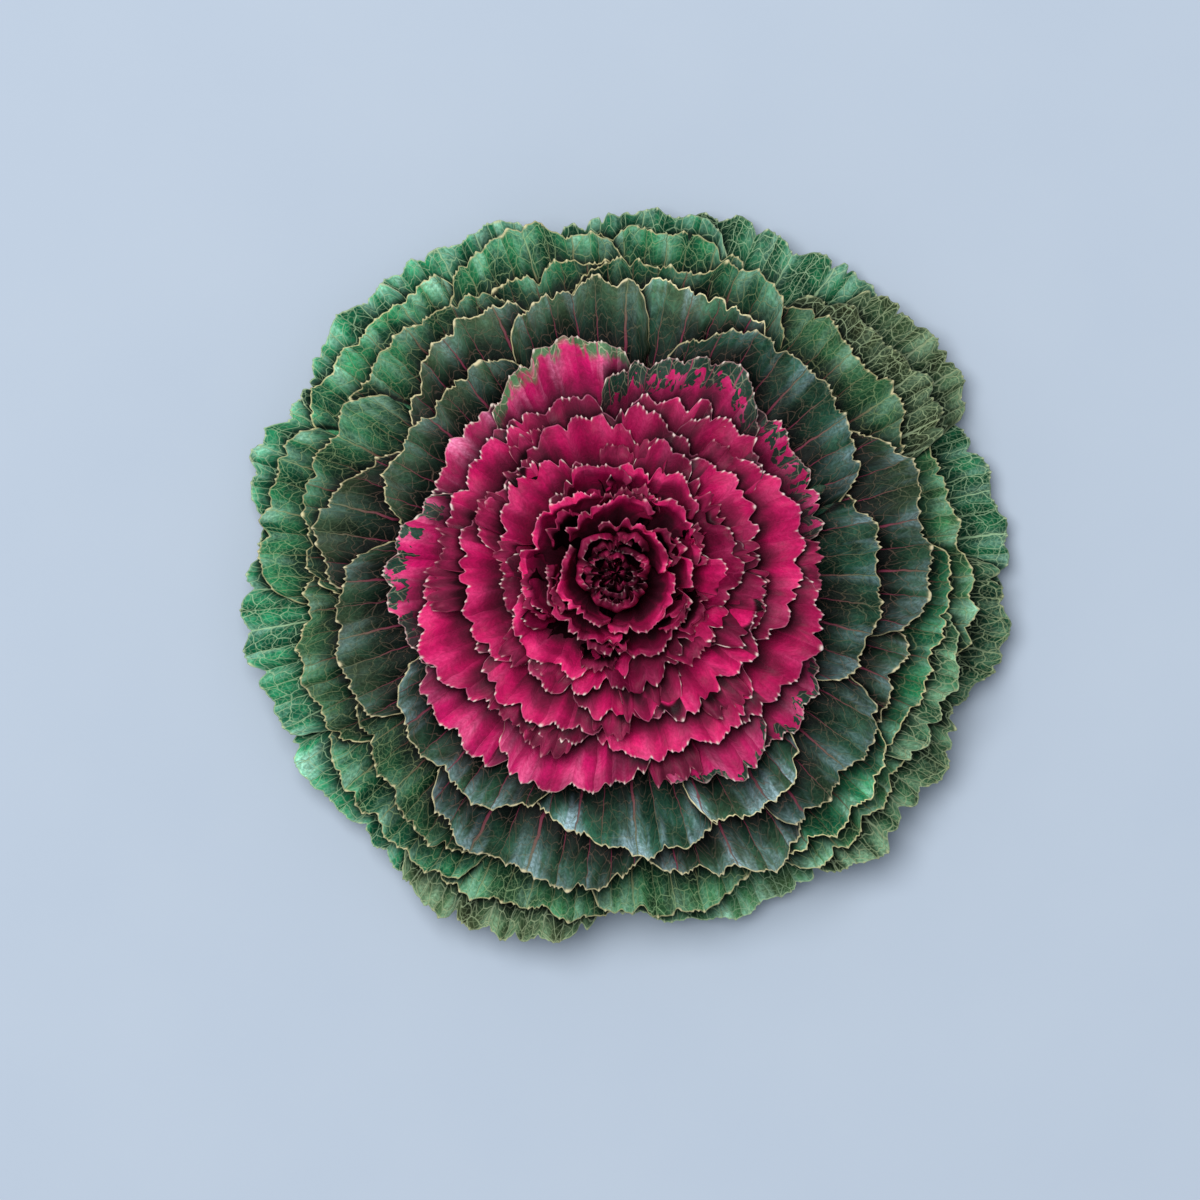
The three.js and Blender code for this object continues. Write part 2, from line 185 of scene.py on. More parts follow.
FREE_LEAVES = [
    LeafRow("outer_leaf_1", Kind.OUTER, 12.5, 17, (150, 154, 152, 147, 143), 0.6, 0.1),
    LeafRow("outer_leaf_3", Kind.OUTER, 61, 18, (147, 151, 145, 147, 145), 0.7, 0.1),
    LeafRow("outer_leaf_5", Kind.OUTER, 119, 16, (142, 145, 144, 146, 143), 1.24),
    LeafRow("outer_leaf_7", Kind.OUTER, 160, 12, (138, 142, 149, 147, 139), 1.2),
    LeafRow("outer_leaf_9", Kind.OUTER, 224, 18, (143, 145, 140, 143, 140), 1.26),
    LeafRow("outer_leaf_11", Kind.OUTER, 287, 18, (132, 136, 141, 142, 140), 1.4, 0.6),
    LeafRow("outer_leaf_13", Kind.NETTED, 348, 15, (140, 144, 155, 152, 146), 1.05),
    LeafRow("outer_leaf_2", Kind.NETTED, 36.5, 13, (150, 156, 155, 152, 148), 1.0, 0.5),
    LeafRow("outer_leaf_4", Kind.OUTER, 86, 15, (140, 142, 142, 138, 135), 0.92),
    LeafRow("outer_leaf_6", Kind.OUTER, 140, 13, (143, 146, 147, 142, 138), 1.2),
    LeafRow("outer_leaf_8", Kind.OUTER, 189, 19, (137, 142, 147, 145, 141), 1.02),
    LeafRow("outer_leaf_10", Kind.NETTED, 250, 17, (145, 149, 148, 146, 140), 1.5, 0.5),
    LeafRow("outer_leaf_12", Kind.NETTED, 321, 19, (138, 149, 146, 149, 140), 1.5, 0.25),
    LeafRow("green_leaf_2", Kind.GREEN, 81, 14, (130, 134, 135, 134, 130)),
    LeafRow("green_leaf_5", Kind.GREEN, 136, 17, (133, 137, 136, 136, 138), 1.4),
    LeafRow("green_leaf_6", Kind.GREEN, 169, 15, (135, 138, 138, 138, 135), 0.95),
    LeafRow("green_leaf_8", Kind.GREEN, 255, 17, (135, 137, 134, 135, 130), 0.97, 0.25),
    LeafRow("green_leaf_10", Kind.GREEN, 317, 17, (135, 138, 137, 133, 130), 1.45, 0.3),
    LeafRow("green_leaf_1", Kind.GREEN, 105, 16, (128, 133, 139, 137, 129)),
    LeafRow("green_leaf_4", Kind.GREEN, 7, 21, (139, 139, 133, 133, 125), 1.15, 0.3),
    LeafRow("green_leaf_7", Kind.GREEN, 226, 17, (130, 134, 134, 136, 135)),
    LeafRow("green_leaf_9", Kind.GREEN, 281, 15, (128, 132, 134, 133, 125), 0.9, 0.3),
    LeafRow("green_leaf_3", Kind.NETTED, 40, 18, (138, 142, 137, 137, 128), 0.53, 0.7),
    LeafRow("green_leaf_11", Kind.NETTED, 340, 14, (134, 137, 137, 136, 132), 1.9, 0.1),
    LeafRow("middle_leaf_6", Kind.MIDDLE, 196, 17, (119, 121, 127, 127, 124), 0.9, 0.3),
    LeafRow("middle_leaf_3", Kind.MIDDLE, 105, 15, (120, 122, 120, 119, 115), 1.0),
    LeafRow("middle_leaf_8", Kind.MIDDLE, 345, 20, (122, 126, 127, 129, 128), 1.4),
    LeafRow("middle_leaf_1", Kind.MIDDLE, 43, 20, (122, 128, 124, 128, 115), 0.68, 0.35),
    LeafRow("middle_leaf_4", Kind.MIDDLE, 131, 19, (118, 122, 124, 123, 121), 0.88, 0.1),
    LeafRow("middle_leaf_7", Kind.MIDDLE, 314, 15, (126, 129, 131, 128, 123), 2.15),
    LeafRow("middle_leaf_2", Kind.MIDDLE, 77, 20, (122, 128, 119, 121, 118), 0.9),
    LeafRow("middle_leaf_5", Kind.MIDDLE, 163, 19, (121, 122, 124, 120, 118), 0.8, 0.1),
    LeafRow("dark_leaf_7", Kind.MIDDLE, 224, 20, (112, 116, 120, 126, 120), 0.55, 0.2, wax_and_sheen=1.0),
    LeafRow("dark_leaf_11", Kind.DARK, 339, 14, (113, 116, 114, 115, 105), 1.0, 0.3, wax_and_sheen=0.9),
    LeafRow("dark_leaf_9", Kind.DARK, 292, 16, (112, 118, 122, 130, 118), 1.4, 0.3, wax_and_sheen=1.25),
    LeafRow("dark_leaf_5", Kind.DARK, 166, 16, (97, 105, 115, 116, 111), 0.74, 0.4, wax_and_sheen=0.3),
    LeafRow("dark_leaf_4", Kind.DARK, 127, 18, (110, 113, 112, 107, 97), 1.35, 0.4, wax_and_sheen=0.4),
    LeafRow("dark_leaf_2", Kind.DARK, 74, 16, (110, 112, 113, 113, 107), 2.1, 0.3, wax_and_sheen=0.6),
    LeafRow("dark_leaf_8", Kind.DARK, 253, 22, (115, 120, 119, 123, 112), 1.02, 0.2, wax_and_sheen=1.05),
    LeafRow("dark_leaf_6", Kind.DARK, 193, 18, (100, 106, 110, 112, 109), 0.8, 0.4, wax_and_sheen=0.5),
    LeafRow("dark_leaf_1", Kind.DARK, 11, 21, (118, 121, 120, 120, 106), 0.88, 0.3, wax_and_sheen=0.85),
    LeafRow("dark_leaf_3", Kind.DARK, 99, 14, (111, 113, 111, 108, 105), 1.12, 0.4, wax_and_sheen=0.5),
    LeafRow("dark_leaf_10", Kind.DARK, 319, 15, (117, 118, 117, 118, 112), 0.93, 0.2, wax_and_sheen=1.1),
    LeafRow("dark_leaf_16", Kind.DARK, 273, 22, (95, 101, 107, 108, 101), 1.5, 0.1, wax_and_sheen=1.6),
    LeafRow("dark_leaf_14", Kind.DARK, 141, 24, (94, 96, 94, 96, 92), 0.98, 0.4, wax_and_sheen=0.4),
    LeafRow("dark_leaf_13", Kind.DARK, 359, 24, (97, 101, 101, 99, 90), 0.9, 0.1, wax_and_sheen=0.9),
    LeafRow("dark_leaf_15", Kind.DARK, 229, 23, (93, 101, 101, 102, 93), 1.1, 0.3, wax_and_sheen=1.15),
    LeafRow("dark_leaf_17", Kind.DARK, 303, 13, (101, 105, 106, 104, 98), 2.1, 0.2, wax_and_sheen=1.3),
    LeafRow("dark_leaf_12", Kind.DARK, 47, 26, (100, 106, 107, 106, 94), 0.88, 0.1, wax_and_sheen=0.85),
    LeafRow("mixed_leaf_2", Kind.MIXED, 142, 19, (81, 79, 80, 77, 74), 1.2, wax_and_sheen=2.4),
    LeafRow("mixed_leaf_7", Kind.MIXED, 323, 13, (87, 90, 89, 89, 84), 1.25, 0, 3.0),
    LeafRow("mixed_leaf_8", Kind.MIXED, 33, 20, (80, 82, 82, 84, 80), 1.05, 0, 5.0),
    LeafRow("mixed_leaf_4", Kind.MIXED, 226, 17, (86, 88, 87, 88, 82), 1.2),
    LeafRow("mixed_leaf_1", Kind.MIXED, 106, 19, (82, 90, 91, 86, 81), 1.18, 0, 3.5, 1.0, 1.9),
    LeafRow("mixed_leaf_3", Kind.MIXED, 182, 23, (78, 83, 88, 85, 81), 1.22, 0, 5, 0.0, 1.2),
    LeafRow("mixed_leaf_6", Kind.MIXED, 298, 16, (80, 84, 88, 91, 83), 1.0, 0, 2.0, 0.0),
    LeafRow("mixed_leaf_9", Kind.MIXED, 70, 20, (85, 91, 86, 81, 78), 1.0, 0, 7.2, 0.0),
    LeafRow("mixed_leaf_5", Kind.MIXED, 258, 19, (85, 87, 84, 81, 77), 1.1),
]

# The heart's leaves from the lowest to the innermost curl: centre angle and half width in
# degrees, and the margin's radii in millimetres.
HEART_LEAVES = [
    (334, 22, (76, 76, 80, 81, 75)), (206, 23, (72, 77, 80, 74, 68)),
    (68, 13, (69, 72, 70, 68, 68)), (243, 14, (67, 69, 69, 69, 66)),
    (115, 16, (68, 69, 67, 70, 72)), (293, 22, (69, 72, 70, 75, 70)),
    (48, 13, (68, 71, 72, 70, 68)), (149, 21, (68, 69, 66, 68, 63)),
    (11, 26, (67, 69, 71, 72, 67)), (236, 25, (60, 64, 65, 62, 61)),
    (79, 20, (56, 58, 63, 61, 58)), (187, 26, (60, 60, 58, 59, 56)),
    (315, 26, (59, 61, 57, 60, 55)), (147, 17, (54, 55, 54, 55, 54)),
    (275, 18, (56, 54, 54, 55, 56)), (111, 20, (59, 60, 60, 58, 54)),
    (36, 20, (55, 57, 57, 55, 52)), (350, 18, (56, 57, 57, 54, 52)),
    (66, 15, (48, 50, 52, 50, 46)), (250, 19, (50, 51, 48, 45, 41)),
    (143, 25, (48, 50, 50, 47, 42)), (342, 18, (43, 45, 42, 43, 42)),
    (287, 16, (44, 46, 44, 42, 41)), (191, 15, (42, 43, 43, 42, 41)),
    (10, 20, (44, 46, 46, 44, 41)), (223, 21, (41, 44, 44, 42, 41)),
    (65, 19, (40, 42, 41, 40, 39)), (108, 17, (38, 40, 41, 40, 36)),
    (296, 26, (30, 31, 32, 31, 29)), (156, 34, (32, 34, 33, 35, 33)),
    (38, 20, (31, 32, 32, 32, 31)), (355, 22, (27, 27, 27, 27, 26)),
    (223, 32, (25, 26, 26, 26, 25)), (100, 27, (27, 27, 25, 24, 23)),
    (320, 38, (21, 22, 22, 21, 20)), (205, 34, (19, 20, 21, 20, 19)),
    (55, 34, (18, 19, 19, 19, 18)), (135, 44, (15, 16, 17, 16, 15)),
    (268, 46, (13, 14, 14, 14, 13)), (24, 60, (10, 11, 12, 11, 10)),
    (167, 50, (10, 10, 11, 10, 10)), (285, 55, (9, 9, 10, 9, 9)),
    (97, 50, (6, 7, 7, 7, 6)), (275, 60, (5, 6, 6, 6, 5)),
]


# The crumpled curls that close the heart: centre angle and half width in degrees, and the
# margin's radius and height in millimetres. They grow from the core's top.
CENTRE_CURLS = [
    (20, 75, 7.5, 98), (205, 70, 6.6, 96), (110, 70, 5.4, 97), (300, 75, 4.4, 95),
    (60, 85, 3.4, 94), (230, 90, 2.6, 92),
]
CURL_FOOT = 80
CURL_UNEVEN = 0.2
CURL_TONE = 1.0

# Small frilled leaves that fill the gaps of the heart: centre angle and half width in
# degrees, and the margin's radius in millimetres.
FRILLS = [
    (47.5, 7, 64), (34, 8, 45), (74, 8, 51), (90, 8, 48), (69, 9, 31),
    (124, 8, 62), (133, 7, 55), (154, 7, 58), (172, 7, 68), (173, 9, 44), (185, 8, 71),
    (195, 13, 34), (217, 8, 52), (233, 9, 48), (234, 8, 70), (247, 8, 73), (258, 10, 36),
    (268, 7, 62), (281, 8, 55), (311, 8, 68), (318, 12, 43), (332, 12, 35), (352, 9, 57),
    (2, 8, 77), (13, 8, 53), (287, 7, 82), (28, 15, 22.5), (18, 11, 33), (325, 13, 29),
    (200, 16, 23.5), (172, 24, 12), (243, 22, 12.5), (302, 24, 13), (62, 18, 16.5),
    (112, 22, 12.5), (12, 22, 12.5), (85, 12, 29), (262, 14, 28), (140, 14, 28.5),
]


@dataclass(frozen=True)
class MarginStyle:
    """How a leaf's margin is lobed, toothed, torn and ruffled, in millimetres.

    Widen is the share by which the blade runs on past its row's half width, with the
    corners that its neighbours cover.
    """

    lobe_width: float
    lobe_depth: float
    tooth_width: float
    tooth_depth: float
    ruffle_height: float
    ruffle_reach: float
    pleat_width: float
    pleat_height: float
    tears: int
    tear_depth: float
    droop: float
    bead: float
    widen: float


MARGINS = {
    Kind.OUTER: MarginStyle(16, 3.2, 3.3, 0.68, 1.7, 20, 8.0, 1.5, 2, 3.5, 2.2, 0.12, 1.15),
    Kind.NETTED: MarginStyle(13, 3.2, 3.0, 0.78, 1.7, 18, 7.0, 1.4, 2, 3.5, 2.2, 0.12, 1.15),
    Kind.GREEN: MarginStyle(19, 3.2, 3.3, 0.85, 1.6, 18, 9.0, 1.3, 2, 3.0, 2.2, 0.2, 1.25),
    Kind.MIDDLE: MarginStyle(20, 2.8, 3.2, 1.05, 1.5, 16, 10.0, 1.1, 2, 2.6, 2.2, 0.2, 1.28),
    Kind.DARK: MarginStyle(20, 2.4, 3.1, 1.15, 1.4, 16, 11.0, 1.0, 2, 2.2, 2.2, 0.22, 1.28),
    Kind.MIXED: MarginStyle(13, 3.2, 2.4, 0.64, 1.9, 10, 8.0, 0.5, 3, 3.0, 1.2, 0.26, 1.4),
    Kind.HEART: MarginStyle(12, 3.2, 2.3, 0.6, 1.9, 9, 8.0, 0.5, 4, 3.2, 0.0, 0.26, 1.6),
    Kind.FRILL: MarginStyle(5, 3.0, 2.0, 0.9, 1.6, 6, 5.0, 0.3, 3, 2.4, 0.0, 0.2, 1.2),
}


def smooth_step(low: float, high: float, value: np.ndarray) -> np.ndarray:
    """A soft step: t = clip((value - low) / (high - low), 0, 1), then 3t^2 - 2t^3.

    Args:
        low: Value up to which the step is 0.
        high: Value from which the step is 1.
        value: Values to be stepped.

    Returns:
        The step at each value.
    """
    share = np.clip((value - low) / (high - low), 0, 1)
    return share * share * (3 - 2 * share)


def catmull_rom(values: np.ndarray, place: np.ndarray) -> np.ndarray:
    """A smooth curve through evenly spaced values.

    Between two values a and b it is the cubic h00*a + h10*a' + h01*b + h11*b', whose
    slopes a' and b' are half the difference of the values on either side.

    Args:
        values: The values, one step apart.
        place: Where the curve is wanted, from 0 to the last value's number.

    Returns:
        The curve's value at each place.
    """
    last = len(values) - 1
    index = np.minimum(last - 1, np.floor(place).astype(int))
    share = place - index
    before, start, end, after = (
        values[np.clip(index + step, 0, last)] for step in (-1, 0, 1, 2)
    )
    square = share * share
    cube = square * share
    return (
        (2 * cube - 3 * square + 1) * start + (cube - 2 * square + share) * (end - before) / 2
        + (3 * square - 2 * cube) * end + (cube - square) * (after - start) / 2
    )


def wander(seed: int, length: float, distance: np.ndarray) -> np.ndarray:
    """A repeatable wobble, about -1 to 1, whose shortest wave has the given length.

    It is the sum of four sines, sin(2 pi * distance / wavelength + phase), with longer
    waves of 1, 1.7, 2.9 and 4.6 times the length and phases drawn from the seed.

    Args:
        seed: Seed of the phases.
        length: Shortest wavelength, in millimetres.
        distance: Where the wobble is wanted, in millimetres.

    Returns:
        The wobble at each distance.
    """
    phases = np.random.default_rng(seed).uniform(0, TAU, 4)
    total = np.zeros_like(distance, dtype=float)
    for phase, stretch in zip(phases, (1.0, 1.7, 2.9, 4.6)):
        total += 0.4 * np.sin(TAU * distance / (length * stretch) + phase)
    return total


@dataclass
class Shell:
    """A closed surface as arrays: corners in millimetres, faces, a map and values."""

    points: np.ndarray
    quads: np.ndarray
    triangles: np.ndarray
    plan: np.ndarray
    values: dict


def join_shells(shells: list) -> Shell:
    """Several shells as one, with the later ones' corner numbers moved up.

    Args:
        shells: The shells, which have the same values.

    Returns:
        One shell that holds them all.
    """
    starts = np.cumsum([0] + [len(shell.points) for shell in shells[:-1]])
    return Shell(
        np.concatenate([shell.points for shell in shells]),
        np.concatenate([shell.quads + start for shell, start in zip(shells, starts)]),
        np.concatenate([shell.triangles + start for shell, start in zip(shells, starts)]),
        np.concatenate([shell.plan for shell in shells]),
        {key: np.concatenate([shell.values[key] for shell in shells])
         for key in shells[0].values},
    )


def mesh_object(name: str, shell: Shell, material: bpy.types.Material) -> bpy.types.Object:
    """A mesh object made of a shell, in metres, smooth, with its map and its values.

    Args:
        name: The object's name.
        shell: The surface, in millimetres.
        material: The finish of the whole surface.

    Returns:
        The object, linked to the scene.
    """
    mesh = bpy.data.meshes.new(name)
    corners = np.concatenate([shell.quads.ravel(), shell.triangles.ravel()])
    sizes = np.concatenate([np.full(len(shell.quads), 4), np.full(len(shell.triangles), 3)])
    mesh.vertices.add(len(shell.points))
    mesh.vertices.foreach_set("co", (shell.points * MM).astype(np.float32).ravel())
    mesh.loops.add(len(corners))
    mesh.loops.foreach_set("vertex_index", corners.astype(np.int32))
    mesh.polygons.add(len(sizes))
    mesh.polygons.foreach_set("loop_start", (np.cumsum(sizes) - sizes).astype(np.int32))
    mesh.polygons.foreach_set("use_smooth", np.ones(len(sizes), bool))
    plan = mesh.uv_layers.new(name="blade")
    plan.data.foreach_set("uv", shell.plan[corners].astype(np.float32).ravel())
    for key, numbers in shell.values.items():
        layer = mesh.attributes.new(key, "FLOAT", "POINT")
        layer.data.foreach_set("value", numbers.astype(np.float32).ravel())
    mesh.update(calc_edges=True)
    mesh.validate()
    mesh.materials.append(material)
    made = bpy.data.objects.new(name, mesh)
    bpy.context.scene.collection.objects.link(made)
    return made


def stump_radius(height: float) -> float:
    """The stump's radius at a height: a straight taper from its base to its top."""
    return STUMP_BASE_RADIUS + (STUMP_TOP_RADIUS - STUMP_BASE_RADIUS) * height / STUMP_HEIGHT


@dataclass(frozen=True)
class Profile:
    """The rise of one level of the rosette from its root to its margin, in millimetres."""

    level: float
    root_height: float
    margin_radius: float
    margin_height: float
    arch: float
    root_radius: float
    cup: float
    throat: float

    @classmethod
    def at_level(cls, level: float, in_heart: bool) -> "Profile":
        """The profile between the two stations next to a level.

        Args:
            level: Place in the rosette, from 0 for the lowest leaf.
            in_heart: Whether the leaf grows from the heart's core or from the stump.

        Returns:
            The profile.
        """
        numbers = [np.interp(level, STATIONS[:, 0], STATIONS[:, key]) for key in (1, 2, 3, 4)]
        root_radius = stump_radius(numbers[0]) + ROOT_GAP
        if in_heart:
            root_radius = min(HEART_ROOT_RADIUS, CURL_ROOT_SHARE * numbers[1])
        cup = float(smooth_step(*CUPPED_LEVELS, np.array(level)))
        throat = THROAT_DEPTH * float(smooth_step(*THROAT_LEVELS, np.array(level)))
        return cls(level, *numbers, root_radius, cup, throat * (1 - cup))

    def along(self, radius: np.ndarray) -> np.ndarray:
        """Share of the way from the root's radius to the margin's, which may pass 1."""
        return (radius - self.root_radius) / (self.margin_radius - self.root_radius)

    def surface_height(self, radius: np.ndarray) -> np.ndarray:
        """Height at a radius: root + rise * a * (1 + FLARE * (1 - a)) + 4 * arch * a * (1 - a),
        where a is the share of the way to the margin, kept within STEEPEST.

        Args:
            radius: Distance from the axis, in millimetres.

        Returns:
            The height at each radius, in millimetres.
        """
        share = np.clip(self.along(radius), *STEEPEST)
        rise = (self.margin_height - self.root_height) * share * (1 + FLARE * (1 - share))
        return self.root_height + rise + 4 * self.arch * share * (1 - share)

    def wave(self, angle: np.ndarray) -> np.ndarray:
        """Broad and fine sines round the rosette, whose phases drift with the level.

        Args:
            angle: Angle round the rosette, in radians.

        Returns:
            How far the blade is raised, in millimetres.
        """
        broad = np.sin(BROAD_WAVES * angle + BROAD_WAVE_DRIFT * self.level)
        fine = np.sin(FINE_WAVES * angle + FINE_WAVE_DRIFT * self.level)
        return BROAD_WAVE_HEIGHT * broad + FINE_WAVE_HEIGHT * fine


@dataclass
class Blade:
    """One leaf: a thin closed blade with a lobed, toothed and ruffled margin."""

    row: LeafRow
    profile: Profile
    seed: int
    style: MarginStyle
    across: np.ndarray = field(init=False)
    margin: np.ndarray = field(init=False)
    arc: np.ndarray = field(init=False)
    inset: np.ndarray = field(init=False)
    along: np.ndarray = field(init=False)
    span: float = field(init=False)
    corner_cut: np.ndarray = field(init=False)
    corner: np.ndarray = field(init=False)
    small: float = field(init=False, default=1.0)
    beads: float = field(init=False, default=1.0)

    def __post_init__(self) -> None:
        """Lays out the blade's grid: rows from root to margin, columns across it."""
        self.span = math.radians(self.row.half_width) * self.style.widen
        width = 2 * self.span * float(np.mean(self.row.margin))
        columns = max(28, round(width / COLUMN_STEP))
        self.across = np.linspace(-1, 1, columns + 1)
        beyond = np.abs(self.across) * self.style.widen - CORNER_FROM
        self.corner = np.clip(beyond / (self.style.widen - CORNER_FROM), 0, 1)
        self.margin, self.corner_cut = self.smooth_margin(self.across * self.style.widen)
        self.arc = self.across * width / 2
        length = math.hypot(
            float(np.mean(self.row.margin)) - self.profile.root_radius,
            self.profile.margin_height - self.profile.root_height,
        )
        insets = ROW_INSETS[ROW_INSETS < 0.93 * length]
        self.inset = np.append(insets, length)[::-1][:, None]
        self.along = 1 - self.inset / length
        self.small = min(1.0, 0.15 + self.profile.margin_radius / SMALL_BELOW)
        self.beads = min(1.0, (self.profile.margin_radius / FEWER_BEADS_BELOW) ** 1.2)

    def smooth_margin(self, place: np.ndarray) -> tuple[np.ndarray, np.ndarray]:
        """The margin's radius before its lobes: the curve through the row's radii, times
        1 - CORNER_DROP * c ^ CORNER_POWER, where c goes from 0 to 1 on the last stretch
        before the blade's end and so rounds its corner. A cup's corner drops less.

        Args:
            place: Place across the blade, where -1 and 1 are the row's half width.

        Returns:
            The margin's radius, and how much the rounded corner takes off it.
        """
        radii = np.array(self.row.margin, float)
        inside = np.clip(place, -1, 1)
        curve = catmull_rom(radii, (inside + 1) / 2 * (len(radii) - 1))
        drop = CORNER_DROP * (1 - 0.7 * self.profile.cup)
        cut = curve * drop * self.corner ** CORNER_POWER
        return curve - cut, cut

    def lobe_phase(self) -> np.ndarray:
        """Number of lobes passed along the margin, which wanders by a third of a lobe."""
        return self.arc / self.style.lobe_width + 0.35 * wander(self.seed, 40, self.arc)

    def lobes(self) -> np.ndarray:
        """Round lobes with sharp notches between them: depth * (|sin(pi * phase)| ^ 0.8 - 0.55),
        where each lobe has its own depth, which is less in cups and on small leaves.

        Returns:
            How far the lobes reach past the margin, in millimetres.
        """
        shape = np.abs(np.sin(math.pi * self.lobe_phase())) ** 0.8 - 0.55
        vary = 1 + 0.45 * wander(self.seed + 1, 30, self.arc)
        return self.style.lobe_depth * shape * vary * (1 - 0.5 * self.profile.cup) * self.small

    def teeth(self) -> tuple[np.ndarray, np.ndarray]:
        """Small teeth, (0.5 + 0.5 cos(2 pi * phase)) ^ 1.4 and each of its own height, that
        ride on broader, uneven jags.

        Returns:
            The teeth's height over the margin, and 0 to 1 where a tooth's tip is.
        """
        phase = self.arc / self.style.tooth_width + 0.7 * wander(self.seed + 2, 9, self.arc)
        point = (0.5 + 0.5 * np.cos(TAU * phase)) ** 1.4
        heights = np.random.default_rng(self.seed + 3).uniform(0.3, 1.2, 200)
        each = heights[np.round(phase).astype(int) % 200]
        tip = smooth_step(0.8, 1.0, point) * smooth_step(0.35, 0.6, each)
        jags = 1.0 * wander(self.seed + 10, 6.5, self.arc)
        return self.style.tooth_depth * (point * each - 0.4 + jags) * self.small, tip

    def tears(self) -> np.ndarray:
        """Narrow notches: minus depth * exp(-(distance / width)^2) for each.

        Returns:
            How far the notches cut into the margin, as numbers below 0.
        """
        random = np.random.default_rng(self.seed + 4)
        places = random.uniform(-0.85, 0.85, self.style.tears) * self.arc[-1]
        depths = random.uniform(0.3, 1, self.style.tears) * self.style.tear_depth
        widths = random.uniform(0.7, 1.8, self.style.tears)
        away = (self.arc[None, :] - places[:, None]) / widths[:, None]
        return -(depths[:, None] * np.exp(-away ** 2)).sum(axis=0)

    def fold_phase(self) -> np.ndarray:
        """Number of pleats passed across the blade; main veins lie at its whole numbers."""
        return self.arc / self.style.pleat_width + 0.15 * wander(self.seed + 7, 23, self.arc)

    def lift(self) -> np.ndarray:
        """How far the blade's middle surface stands off its level, along its normal.

        It is the sum of ruffles, height * sin(pi * lobe phase) * exp(-(inset / reach)^1.4),
        of finer frills at the margin, 0.35 * height * sin(pi * frill phase) *
        exp(-inset / (0.35 * reach)), and of pleats between the veins,
        height * (|sin(pi * fold phase)| - 0.6), which fade towards the root.

        Returns:
            The distance at each point of the grid, in millimetres.
        """
        style = self.style
        fade = np.exp(-(self.inset / style.ruffle_reach) ** 1.4)
        swing = (0.75 + 0.4 * wander(self.seed + 5, 26, self.arc)) * (1 - self.across ** 8)
        calm = 1 - 0.5 * self.profile.cup
        ruffle = style.ruffle_height * np.sin(math.pi * self.lobe_phase()) * swing * fade * calm
        frill_phase = self.arc / (0.41 * style.lobe_width)
        frill_phase = frill_phase + 0.4 * wander(self.seed + 6, 17, self.arc)
        frill = 0.35 * style.ruffle_height * np.sin(math.pi * frill_phase)
        frill = frill * np.exp(-self.inset / (0.35 * style.ruffle_reach))
        pleat = style.pleat_height * (np.abs(np.sin(math.pi * self.fold_phase())) - 0.6)
        uneven = 0.8 + 0.5 * wander(self.seed + 11, 27, self.arc)
        pleat = pleat * uneven * smooth_step(0.25, 0.8, self.along)
        return ruffle + frill + pleat

    def rib(self, angle: np.ndarray, radius: np.ndarray) -> np.ndarray:
        """Thickness that the midrib adds under the blade: a ridge of the shape
        exp(-(distance / width)^2), 2.65 mm high at the root and 0.25 mm at the margin.

        Args:
            angle: Angle of each point of the grid, in radians.
            radius: Its distance from the axis, in millimetres.

        Returns:
            The added thickness, in millimetres.
        """
        away = radius * (angle - math.radians(self.row.centre))
        left = 1 - self.along
        width = 1.0 + 2.4 * left
        return (0.25 + 2.4 * left ** 1.5) * np.exp(-(away / width) ** 2)

    def reach_by_angle(self) -> np.ndarray:
        """The margin's radius at each step of a full turn, and 0 beside the blade and where
        its corners have sunk under its neighbours.

        Returns:
            The radius at each of TURN_STEPS + 1 angles, in millimetres.
        """
        turn = np.linspace(0, TAU, TURN_STEPS + 1) - math.radians(self.row.centre)
        place = ((turn + math.pi) % TAU - math.pi) / self.span
        outline = self.margin + self.lobes() + self.tears()
        outline = np.where(np.abs(self.across) * self.style.widen < CORNER_SEEN, outline, 0)
        return np.interp(place, self.across, outline, left=0.0, right=0.0)

    def shell(self, cover: np.ndarray) -> Shell:
        """The blade as a closed shell.

        Its grid goes from the root along the lower face to the margin, round a beaded
        edge, and back to the root along the upper face. Strips close its two sides.

        Args:
            cover: How far out the leaves above reach, for each step of a full turn.

        Returns:
            The shell, with its map in metres and the values that its finish reads.
        """
        row, profile, style = self.row, self.profile, self.style
        lobes = self.lobes() + self.tears()
        teeth, tip = self.teeth()
        inner = profile.root_radius - ROOT_SUNK
        reach = self.margin[None, :] - inner
        radius = inner + reach * self.along
        radius = radius + lobes * np.exp(-self.inset / 9) + teeth * np.exp(-self.inset / 2.2)
        spread = ROOT_SPREAD + (1 - ROOT_SPREAD) * np.minimum(1, self.along / FULL_SPREAD_AT)
        angle = math.radians(row.centre) + self.across * self.span * spread
        side_step = np.sign(self.across) * np.abs(self.across) ** 10
        angle = angle + side_step * 1.5 * wander(self.seed + 8, 6, radius) / radius

        bend = np.maximum(0, self.along - DROOP_FROM) / (1 - DROOP_FROM)
        height = profile.surface_height(radius) - style.droop * bend ** 2
        uncut = self.inset + self.corner_cut * self.along
        throat = smooth_step(4, 22, uncut) * smooth_step(0.0, 0.5, self.along)
        height = height - profile.throat * throat
        height = height - CORNER_DIP * (1 - profile.cup) * (self.corner * self.along) ** 2
        bulge = 1 - (1 - self.along) ** CUP_POWER - self.along
        lip = CUP_LIP if profile.level < CLOSED_LEVEL else -CUP_LIP
        radius = radius + profile.cup * (reach * bulge + lip * np.exp(-self.inset / 2.6))
        slope = np.arctan2(np.gradient(height, axis=0), np.gradient(radius, axis=0))
        grown = np.minimum(1, self.along) ** 2 * np.ones_like(radius)
        curl = np.sin(CURL_WAVES * angle + CURL_WAVE_DRIFT * profile.level)
        lift = self.lift()
        curl = curl * CURL_WAVE_DEPTH * smooth_step(12, 50, radius)
        pushed = LIFT_PUSH + (1 - LIFT_PUSH) * profile.cup
        outward = radius + (grown * curl - pushed * lift) * np.sin(slope)
        height = height + (grown * profile.wave(angle) + lift) * np.cos(slope)

